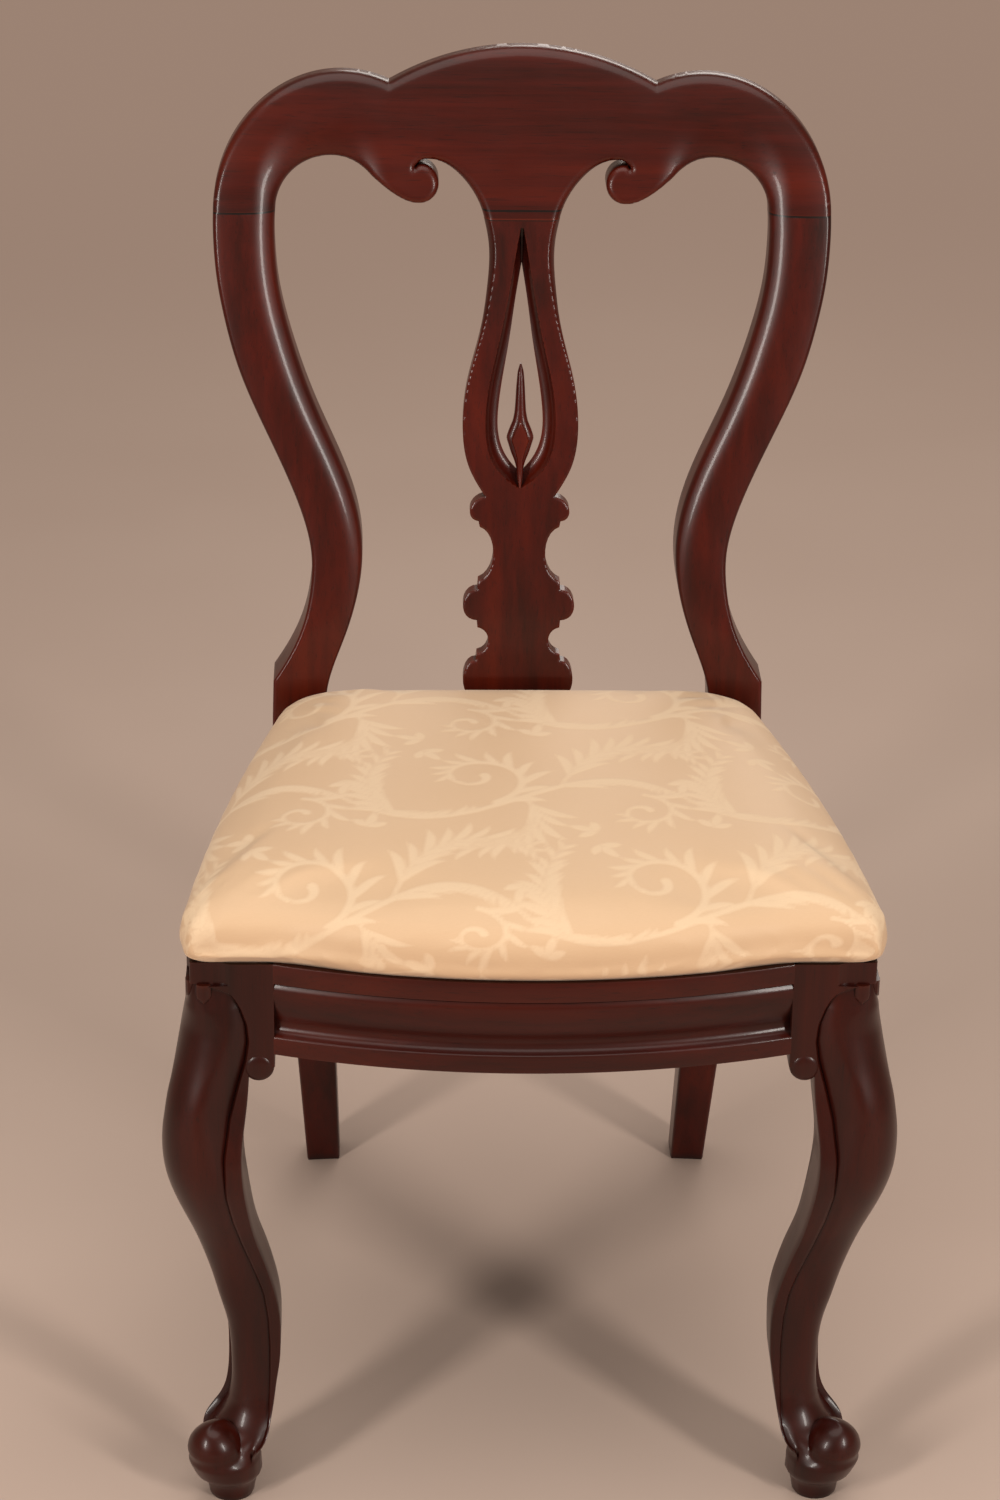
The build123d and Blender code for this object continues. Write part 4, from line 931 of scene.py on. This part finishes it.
def tongue():
    """Small hanging tongue carved where the head meets the knee, on the front face."""
    place, top = 12.5, 398.5
    depth = LEG_FACE_Y + np.array([8.0, 1.8, 0.3, -0.3, 0.3, 1.8, 8.0])
    rings = []
    for drop in (0.15, 0.8, 2.0, 3.4, 5.0, 8.0, 11.0, 13.4):
        half = 4.8 * math.sqrt(1 - max(0, 1 - drop / 5.0) ** 2)
        ridge = half - min(1.6, half * 0.5)
        p = np.array([half, half, ridge, 0, -ridge, -half, -half]) + place
        rings.append(np.stack([HALF_FRONT - p, depth, np.full(7, top + drop)], 1))
    return sweep(rings)


def turned_to_side(part):
    """The same carving on the leg's side face: the two distances change places."""
    verts, faces = part
    p, q = HALF_FRONT - verts[:, 0], verts[:, 1] - LEG_FACE_Y
    verts = np.stack([HALF_FRONT - q, LEG_FACE_Y + p, verts[:, 2]], 1)
    return verts, [face[::-1] for face in faces]


def toe_knob():
    """The toe: a rounded knob set across the diagonal, rising to a blunt point."""
    inset, level, across, upright = TOE
    side = np.array([math.sqrt(0.5), math.sqrt(0.5), 0])
    outward = np.array([math.sqrt(0.5), -math.sqrt(0.5), 0])
    middle = np.array([HALF_FRONT - inset, LEG_FACE_Y + inset - lean(level), level])
    angles = np.linspace(0, 2 * math.pi, 48, endpoint=False)
    rings = []
    for row in range(24):
        tilt = math.pi * (row + 0.5) / 24 - math.pi / 2
        width = math.cos(tilt) ** (1.5 if tilt > 0 else 1.0)
        # below its middle the knob lies just inside the foot's own swelling
        size = across if tilt > 0 else across + 9.0 * math.sin(tilt)
        ring = middle + np.outer(np.cos(angles) * width * size, side)
        ring += np.outer(np.sin(angles) * math.cos(tilt) * size, outward)
        ring[:, 2] += math.sin(tilt) * upright
        rings.append(ring)
    return sweep(rings)


def make_legs(material):
    heights = np.concatenate([
        [0.0, 1.2, 4.5, 8, 11, 14, 17, 20, 23, 26, 29, 31.5],
        np.arange(33, 78, 1.5), np.arange(78, 110, 2.6), np.arange(110, 300, 4.0),
        np.arange(300, EAR_Z - 1, 2.5), [EAR_Z - 0.5, EAR_Z, EAR_Z + 0.6],
        np.arange(352, 394, 2.6), np.arange(394, HEAD_FOOT - 0.5, 0.8),
        [HEAD_FOOT - 0.1, HEAD_FOOT + 0.5, 414.0, 420.0, RAIL_TOP - 0.7, RAIL_TOP],
    ])
    shaft = sweep([leg_ring(z) for z in heights])
    volute = [
        (0.01, -1.7), (2.5, -1.65), (5.0, -1.4), (7.2, -0.9), (8.8, -0.2), (9.9, 0.9), (10.5, 2.4),
        (10.6, 4.5), (10.6, 26), (0.01, 26.2),
    ]
    ear = lathe(volute, (HALF_FRONT - HEAD + 11, LEG_FACE_Y, EAR_Z), (0, 1, 0), 40)
    carved = joined(ear, tongue())
    right = joined(shaft, toe_knob(), carved, turned_to_side(carved))
    make_pair("leg", right, material, "front_leg", 38)


# ----------------------------------------------------------------------- rails
BACK_HALF = 183.0
SIDE_SLOPE = (BACK_HALF - HALF_FRONT) / (WELL_BACK_Y - LEG_FACE_Y)
SIDE_BOW = 5.0
# the front rail's bow: half its width, how far it stands forward, and its radius
BOW_HALF = 175.0
BOW = 27.0
BOW_RADIUS = (BOW_HALF**2 + BOW**2) / (2 * BOW)
# depth in from the rail's face and height: the ogee between the plain bands
OGEE = [
    (2.0, 412.0), (0.7, 409.8), (0.2, 406.6), (0.3, 402.6), (1.2, 397.6), (3.0, 391.8),
    (5.1, 386.4), (6.6, 382.0), (6.9, 378.8), (5.9, 376.2), (3.8, 374.2), (1.2, 372.9),
]


def rail_profile(depth):
    """A rail's section: plain band, quirk, ogee, lower band, and the ledge for the seat."""
    table = np.array(OGEE)
    run = np.concatenate([[0], np.cumsum(np.hypot(*np.diff(table, axis=0).T))])
    at = np.linspace(0, run[-1], 34)
    ogee = [tuple(smooth_through(list(zip(run, column)), at)) for column in table.T]
    points = [(0.3, 427.7), (0.0, 427.0), (0.0, 413.9), (0.3, 413.2), (1.0, 412.9), (4.2, 412.8)]
    points += [(3.6, 412.6)] + list(zip(*ogee)) + [(0.4, 372.5), (0.1, 372.0), (0.0, 371.2)]
    points += [(0.0, 360.4), (0.4, 359.4), (1.4, 359.0), (depth, 359.0), (depth, 414.0)]
    points += [(9.0, 414.0), (9.0, 427.6), (8.6, 428.0), (1.0, 428.0)]
    return np.array(points)


def bowed(profile, axis, radius, start, end, count):
    """A rail whose face is an arc about an upright axis, between two angles."""
    rings = []
    for angle in np.linspace(start, end, count):
        reach = radius - profile[:, 0]
        rings.append(np.stack([
            axis[0] + reach * math.cos(angle), axis[1] + reach * math.sin(angle), profile[:, 1]
        ], 1))
    return sweep(rings)


def make_rails(across, back):
    """The front rail between the heads, and the side rails from the heads into the posts."""
    depth = 26.0
    half_arc = math.asin((BOW_HALF + 1.0) / (BOW_RADIUS - depth))
    middle = -math.pi / 2
    axis = (0, LEG_FACE_Y - BOW + BOW_RADIUS)
    profile = rail_profile(depth)
    front = bowed(profile, axis, BOW_RADIUS, middle - half_arc, middle + half_arc, 60)
    make_piece("rail_front", front, across, ["front_rail"])
    head_back = LEG_FACE_Y + HEAD
    chord = np.array([HALF_FRONT + SIDE_SLOPE * HEAD - BACK_HALF, WELL_BACK_Y - head_back])
    length = float(np.hypot(*chord))
    radius = ((length / 2) ** 2 + SIDE_BOW**2) / (2 * SIDE_BOW)
    outward = chord[::-1] / length
    middle_of_chord = (BACK_HALF + chord[0] / 2, (WELL_BACK_Y + head_back) / 2)
    axis = middle_of_chord - outward * (radius - SIDE_BOW)
    start, end = (math.asin((y - axis[1]) / radius) for y in (head_back - 6.0, WELL_BACK_Y + 7.5))
    make_pair("rail", bowed(rail_profile(24.0), axis, radius, start, end, 40), back, "side_rail")


# --------------------------------------------------------------------- cushion
def plan_ring(inset, back_inset, corner, z):
    """The seat's plan at a distance inside the rails' outer faces, as one ring of points."""
    front_y, rear_y = LEG_FACE_Y + inset, WELL_BACK_Y - back_inset
    front_x = HALF_FRONT - inset + SIDE_SLOPE * inset
    narrow = 14.0 * float(ease(429, 446, z))
    rear_x = BACK_HALF - narrow - inset - SIDE_SLOPE * back_inset
    flat = max(40.0, BOW_HALF - 1.3 * max(0, inset - 10.5))
    x = np.linspace(0, front_x - corner, 27)
    bow = np.sqrt(BOW_RADIUS**2 - np.minimum(x, flat) ** 2) - math.sqrt(BOW_RADIUS**2 - flat**2)
    # the bow runs out softly into the straight stretch in front of the legs
    bow = bow * (1 - 0.5 * ease(flat - 60, flat + 10, x))
    front = list(zip(x, front_y - bow))
    t = np.linspace(0, 1, 37)
    side_x = blend(t, front_x, rear_x + narrow) + SIDE_BOW * 4 * t * (1 - t) - narrow * t**2
    at = np.linspace(front_y + corner, rear_y - corner, 31)
    side = list(zip(np.interp(at, blend(t, front_y, rear_y), side_x), at))
    rear = [(a, rear_y) for a in np.linspace(rear_x - corner, 0, 22)]
    half = front + curve_points([front[-1], (front_x, front_y), side[0]], 11)[1:-1]
    half += side + curve_points([side[-1], (rear_x, rear_y), rear[0]], 11)[1:-1] + rear
    return np.array([(a, b, z) for a, b in closed_loop(half)])


# inset of the sides, inset of the back, corner, height: the edge turned in under the seat
TURNED_IN = [
    (36.5, 27.5, 8.0, 416.4), (36.5, 27.5, 8.0, 414.6), (24.0, 14.0, 8.0, 414.3),
    (12.6, 3.4, 8.0, 414.4), (10.8, 1.8, 8.0, 416.2), (10.6, 1.6, 8.0, 422.0),
]
CROWN = [
    # height, inset of the sides, inset of the back, corner
    (429.6, 2.5, 1.5, 8.0), (431.5, -0.5, 1.0, 11.0), (435, -3.5, 0.6, 15.0),
    (440, -6.0, 0.4, 19.0), (446, -7.2, 0.2, 23.0), (452, -7.4, 0.4, 26.0), (457, -6.4, 1.0, 29.0),
    (462, -3.8, 2.4, 32.0), (467, 1.0, 5.0, 35.0), (471, 7.5, 9.0, 37.0), (474.4, 16.0, 15.0, 39.0),
    (477.2, 27.0, 24.0, 41.0), (479.6, 41.0, 36.0, 43.0), (481.6, 58.0, 52.0, 44.0),
    (483.2, 78.0, 71.0, 44.0), (484.3, 100.0, 93.0, 40.0), (485.0, 124.0, 116.0, 34.0),
    (485.4, 148.0, 138.0, 24.0), (485.5, 170.0, 156.0, 12.0),
]


def cushion_shell():
    """Rings of the covered seat, from the turned-in edge underneath up to its crown."""
    table = np.array(CROWN)
    run = np.concatenate([[0], np.cumsum(np.hypot(np.diff(table[:, 0]), np.diff(table[:, 1])))])
    shoulder = run[12]
    at = np.concatenate([np.linspace(0, shoulder, 26), np.linspace(shoulder, run[-1], 16)[1:]])
    z, inset, back_inset, corner = (np.interp(at, run, column) for column in table.T)
    return sweep([plan_ring(*row) for row in TURNED_IN + list(zip(inset, back_inset, corner, z))])


# how far the cloth run may move a point, in millimetres, and the height in metres that it holds
SWELL = 3.5
HELD_BELOW = 0.436
CLOTH_FRAMES = 20
CLOTH = {
    "quality": 6, "mass": 0.3, "tension_stiffness": 18, "compression_stiffness": 18,
    "shear_stiffness": 6, "bending_stiffness": 0.6, "use_pressure": True,
    "uniform_pressure_force": 4, "vertex_group_mass": "held",
}


def evaluated(thing):
    return thing.evaluated_get(bpy.context.evaluated_depsgraph_get())


def of_vertices(mesh, field):
    """A vector of every vertex, one a row."""
    values = np.empty(len(mesh.vertices) * 3)
    mesh.vertices.foreach_get(field, values)
    return values.reshape(-1, 3)


def padded_mesh(shell):
    """The shell as an even mesh, blown up a little by a short cloth run."""
    mesh = bpy.data.meshes.new("pad")
    mesh.from_pydata([tuple(v) for v in shell[0] * MM], [], shell[1])
    pad = placed("pad", mesh)
    remesh = pad.modifiers.new("even", "REMESH")
    remesh.mode = "VOXEL"
    remesh.voxel_size = 0.0052
    even = bpy.data.meshes.new_from_object(evaluated(pad))
    pad.modifiers.clear()
    pad.data = even
    rest = of_vertices(even, "co")
    held = pad.vertex_groups.new(name="held")
    held.add([int(k) for k in np.flatnonzero(rest[:, 2] < HELD_BELOW)], 1.0, "REPLACE")
    cloth = pad.modifiers.new("cloth", "CLOTH")
    for key, value in CLOTH.items():
        setattr(cloth.settings, key, value)
    cloth.settings.effector_weights.gravity = 0
    for number in range(1, CLOTH_FRAMES + 1):
        bpy.context.scene.frame_set(number)
    moved = of_vertices(evaluated(pad).to_mesh(), "co") - rest
    far = np.linalg.norm(moved, axis=1)
    rest += moved * np.minimum(1, SWELL * MM / np.maximum(far, 1e-9))[:, None]
    pad.modifiers.clear()
    bpy.context.scene.frame_set(1)
    faces = [tuple(polygon.vertices) for polygon in even.polygons]
    bpy.data.objects.remove(pad)
    return rest / MM, faces


def pucker(points):
    """Small gathers where the cloth is drawn round the front corners."""
    x, y, z = points.T
    corner = np.stack([np.abs(x) - 196.0, y - (LEG_FACE_Y + 38.0)], 1)
    turn = np.degrees(np.arctan2(-corner[:, 1], corner[:, 0]))
    reach = np.hypot(*corner.T)
    on_side = ease(20, 32, reach) * (1 - ease(462, 474, z)) * ease(430, 440, z)
    around = np.exp(-((turn - 48) / 26.0) ** 2)
    depth = 0.9 * np.sin(np.radians(turn) * 17 + 0.02 * z) * around * on_side
    away = corner / np.maximum(reach, 1e-6)[:, None] * depth[:, None]
    away[:, 0] *= np.sign(x)
    points[:, :2] -= away
    return points


# ------------------------------------------------------- the damask's leaf scroll
TILE = (238.0, 300.0)
# the grid on which the figure's depth is worked out
DEPTH_PITCH = 1.25


def stroke(line, widths):
    """Points with a radius along a line, the radii read off a few values."""
    line = np.asarray(line, float)
    shares = np.linspace(0, 1, len(line))
    return np.column_stack([line, np.interp(shares, np.linspace(0, 1, len(widths)), widths)])


def spiral(centre, start_radius, end_radius, start, turn, count=70):
    """A stem that winds in round a centre; angles in degrees."""
    t = np.linspace(0, 1, count)
    angle = np.radians(start + turn * t)
    radius = start_radius * (end_radius / start_radius) ** t
    return np.stack([centre[0] + radius * np.cos(angle), centre[1] + radius * np.sin(angle)], 1)


def blade(root, heading, bend, length, width):
    """One lobe of a leaf: it leaves its root at an angle, widens, and curls to a point."""
    steps = 22
    angle = np.radians(heading + bend * np.linspace(0, 1, steps) ** 1.8)
    step = length / (steps - 1)
    run = np.cumsum(np.stack([np.cos(angle), np.sin(angle)], 1) * step, 0)
    widths = [0.35 * width, 0.7 * width, width, 0.95 * width, 0.6 * width, 0.15]
    return stroke(np.asarray(root) + run, widths)


def frond(line, sides, first, last, lobes, length, width):
    """Lobes that leave a stem and sweep along with it, long near its root, short at its tip."""
    line = np.asarray(line, float)
    lobed = []
    for number, share in enumerate(np.linspace(first, last, lobes)):
        k = min(int(share * (len(line) - 1)), len(line) - 2)
        ahead = line[k + 1] - line[k]
        heading = math.degrees(math.atan2(ahead[1], ahead[0]))
        size = 1 - 0.5 * ((share - first) / max(last - first, 1e-6)) ** 1.5
        size *= 0.86 if number % 2 else 1.0
        reach, broad = length * size, width * size**0.6
        lobed += [blade(line[k], heading + 16 * s, 52 * s, reach, broad) for s in sides]
    return lobed


def scroll_strokes():
    """One repeat of the figure: its stems, and the lobes of its leaves and buds."""
    stem = curve_points(
        [(-119, -24), (-84, -62), (-30, -62), (6, 4), (52, 62), (92, 6), (119, -24)], 90
    )
    great = spiral((-38, 20), 43, 8, -70, 450, 120)
    lesser = spiral((78, -36), 27, 6, 84, -420, 80)
    rising = curve_points([stem[50], (40, 70), (84, 92), (118, 58)], 60)
    falling = curve_points([stem[12], (-112, -26), (-124, 16), (-98, 62)], 60)
    trailing = curve_points([stem[40], (20, -50), (-2, -88), (-58, -92)], 60)
    stems = [
        stroke(stem, [2.4, 3.0, 3.4, 3.0, 2.4]), stroke(great, [3.4, 3.0, 2.4, 2.2, 4.2]),
        stroke(lesser, [2.8, 2.4, 2.0, 3.6]),
    ]
    lobes = frond(stem, (1,), 0.04, 0.30, 6, 36, 3.6) + frond(stem, (-1,), 0.56, 0.86, 7, 38, 3.8)
    lobes += frond(great, (-1,), 0.0, 0.52, 11, 38, 4.2) + frond(great, (1,), 0.50, 0.80, 4, 14, 2.2)
    lobes += frond(lesser, (1,), 0.02, 0.52, 8, 30, 3.6)
    for spray, length in ((rising, 42), (falling, 38), (trailing, 42)):
        stems.append(stroke(spray, [2.2, 2.4, 1.8, 0.5]))
        lobes += frond(spray, (-1, 1), 0.10, 0.97, 10, length, 4.2)
    for x, z, tilt in ((6, 92, 70), (112, 14, 250), (46, -84, 300), (-74, 84, 150)):
        for turn, reach in ((-54, 15), (0, 22), (54, 15)):
            lobes.append(blade((x, z), tilt + turn, 20, reach, 4.0))
    return stems, lobes


def stamped(strokes, shape, pitch):
    """Distances to the nearest stroke and to the next one, on a grid that wraps round."""
    nearest, next_one = np.full(shape, 9.0), np.full(shape, 9.0)
    for dots in strokes + [one + (TILE[0] / 2, TILE[1] / 2, 0) for one in strokes]:
        low = np.floor((dots[:, :2].min(0) - 9) / pitch).astype(int)
        high = np.ceil((dots[:, :2].max(0) + 9) / pitch).astype(int)
        i, j = np.arange(low[0], high[0]), np.arange(low[1], high[1])
        across = (i[None, :, None] * pitch[0] - dots[:, 0]) ** 2
        upward = (j[:, None, None] * pitch[1] - dots[:, 1]) ** 2
        gap = (np.sqrt(across + upward) - dots[:, 2]).min(2)
        patch = np.ix_(j % shape[0], i % shape[1])
        next_one[patch] = np.minimum(next_one[patch], np.maximum(nearest[patch], gap))
        nearest[patch] = np.minimum(nearest[patch], gap)
    return nearest, next_one


def figure_depth(u, v):
    """Signed distance to the figure's edge, below zero inside it, over endless repeats."""
    columns, rows = (int(round(size / DEPTH_PITCH)) for size in TILE)
    pitch = (TILE[0] / columns, TILE[1] / rows)
    stems, lobes = scroll_strokes()
    nearest, next_one = stamped(lobes, (rows, columns), pitch)
    # where two lobes meet, a faint line shows between them
    depth = np.maximum(nearest, -0.5 - 0.7 * (next_one - nearest))
    depth = np.minimum(depth, stamped(stems, (rows, columns), pitch)[0])
    a, b = (u / pitch[0]) % columns, (v / pitch[1]) % rows
    i, j = a.astype(int) % columns, b.astype(int) % rows
    s, t = a - np.floor(a), b - np.floor(b)
    lower = blend(s, depth[j, i], depth[j, (i + 1) % columns])
    upper = blend(s, depth[(j + 1) % rows, i], depth[(j + 1) % rows, (i + 1) % columns])
    return blend(t, lower, upper)


def make_cushion(material):
    points, faces = padded_mesh(cushion_shell())
    replaced = ["seat_cover", "stuffing"]
    piece = make_piece("cushion", (pucker(points), faces), material, replaced, "seat", 80)
    finer = piece.modifiers.new("finer", "SUBSURF")
    finer.levels = finer.render_levels = 1
    mesh = bpy.data.meshes.new_from_object(evaluated(piece))
    piece.modifiers.clear()
    piece.data = mesh
    x, y, z = of_vertices(mesh, "co").T / MM
    normal = of_vertices(mesh, "normal")
    # the cloth is drawn down over the sides, so the figure runs on from the top
    down = np.maximum(0, 476 - z)
    u = x + normal[:, 0] * down + TILE[0] * 0.5
    v = y + normal[:, 1] * down + 240.0
    layer = mesh.attributes.new("figure", "FLOAT", "POINT")
    layer.data.foreach_set("value", figure_depth(u, v).astype(np.float32))


def damask(name):
    """Ivory cotton damask: a satin ground and a paler leaf scroll woven into it."""
    s = Shader(name)
    depth = s.node("ShaderNodeAttribute", attribute_name="figure").outputs["Fac"]
    fray = s.math("MULTIPLY_ADD", s.noise((700, 700, 700), 2, 0.6), 0.9, -0.45)
    depth = s.math("MULTIPLY_ADD", s.math("ADD", depth, fray), 0.2, 0.5)
    figure = s.ramp(depth, (0.18, (1.0,)), (0.62, (0.0,)))
    rib = s.noise((260, 2600, 2600), 2, 0.5)
    cross = s.noise((2600, 300, 300), 2, 0.5)
    cloud = s.noise((11, 11, 11), 3, 0.5)
    ground = s.mix(s.span(cloud, 0.0, 0.9), srgb(230, 195, 158), srgb(224, 187, 149))
    paler = s.mix(s.span(cross, 0.1, 0.5), srgb(241, 211, 176), srgb(234, 201, 164))
    colour = s.mix(s.span(rib, 0.0, 0.22), s.mix(figure, ground, paler), srgb(196, 160, 120))
    threads = s.mix(figure, rib, cross)
    s.set(
        # painted shade: a tan darkening in the cushion's creases and hollows, from ambient occlusion,
        # with some dirt
        Base_Color=s.shade_and_grime(colour, 0.010, (0.2, (0.6,)), 0.7, srgb(150, 112, 76)),
        Roughness=s.math("MULTIPLY_ADD", figure, 0.22, 0.52),
        Normal=s.bump(threads, 0.00012, 0.5, s.bump(figure, 0.00018, 0.6)),
        Specular_IOR_Level=0.35, Sheen_Weight=0.2, Sheen_Roughness=0.4,
    )
    return s.material


# ------------------------------------------------------------------------ floor
FLOOR_HALF = 30
# the floor takes on the backdrop's colour between these distances
FADE_START = 0.9
FADE_END = 3.4


def make_floor():
    """A plain floor that holds the shadow, and runs out into the backdrop's colour far away."""
    s = Shader("floor")
    cloud = s.noise((1.2, 1.2, 1.2), 3, 0.5)
    s.set(
        Base_Color=s.ramp(cloud, (0.3, srgb(196, 171, 156)), (0.7, srgb(205, 181, 166))),
        Roughness=0.9,
    )
    length = s.fed("ShaderNodeVectorMath", {0: s.place}, operation="LENGTH").outputs["Value"]
    fade = {"Value": length, "From Min": FADE_START, "From Max": FADE_END}
    away = s.fed("ShaderNodeMapRange", fade, interpolation_type="SMOOTHSTEP").outputs[0]
    plain = s.fed("ShaderNodeEmission", {"Color": (*BACKDROP, 1)}).outputs[0]
    share = s.math("MULTIPLY", away, seen_directly(s.tree))
    either = s.fed("ShaderNodeMixShader", {0: share, 1: s.bsdf.outputs[0], 2: plain})
    s.put(s.output.inputs[0], either.outputs[0])
    mesh = bpy.data.meshes.new("floor")
    corners = [(x * FLOOR_HALF, y * FLOOR_HALF, 0) for x, y in ((-1, -1), (1, -1), (1, 1), (-1, 1))]
    mesh.from_pydata(corners, [], [(0, 1, 2, 3)])
    mesh.materials.append(s.material)
    floor = placed("floor", mesh)


materials = paint_cad()
make_camera()
make_light()
make_floor()
make_posts(materials["rear_post"])
make_crest(materials["crest_rail"])
make_splat(materials["splat"])
make_legs(materials["front_leg"])
make_rails(materials["front_rail"], materials["side_rail"])
make_cushion(damask("damask"))
bpy.context.scene.view_settings.view_transform = "Standard"
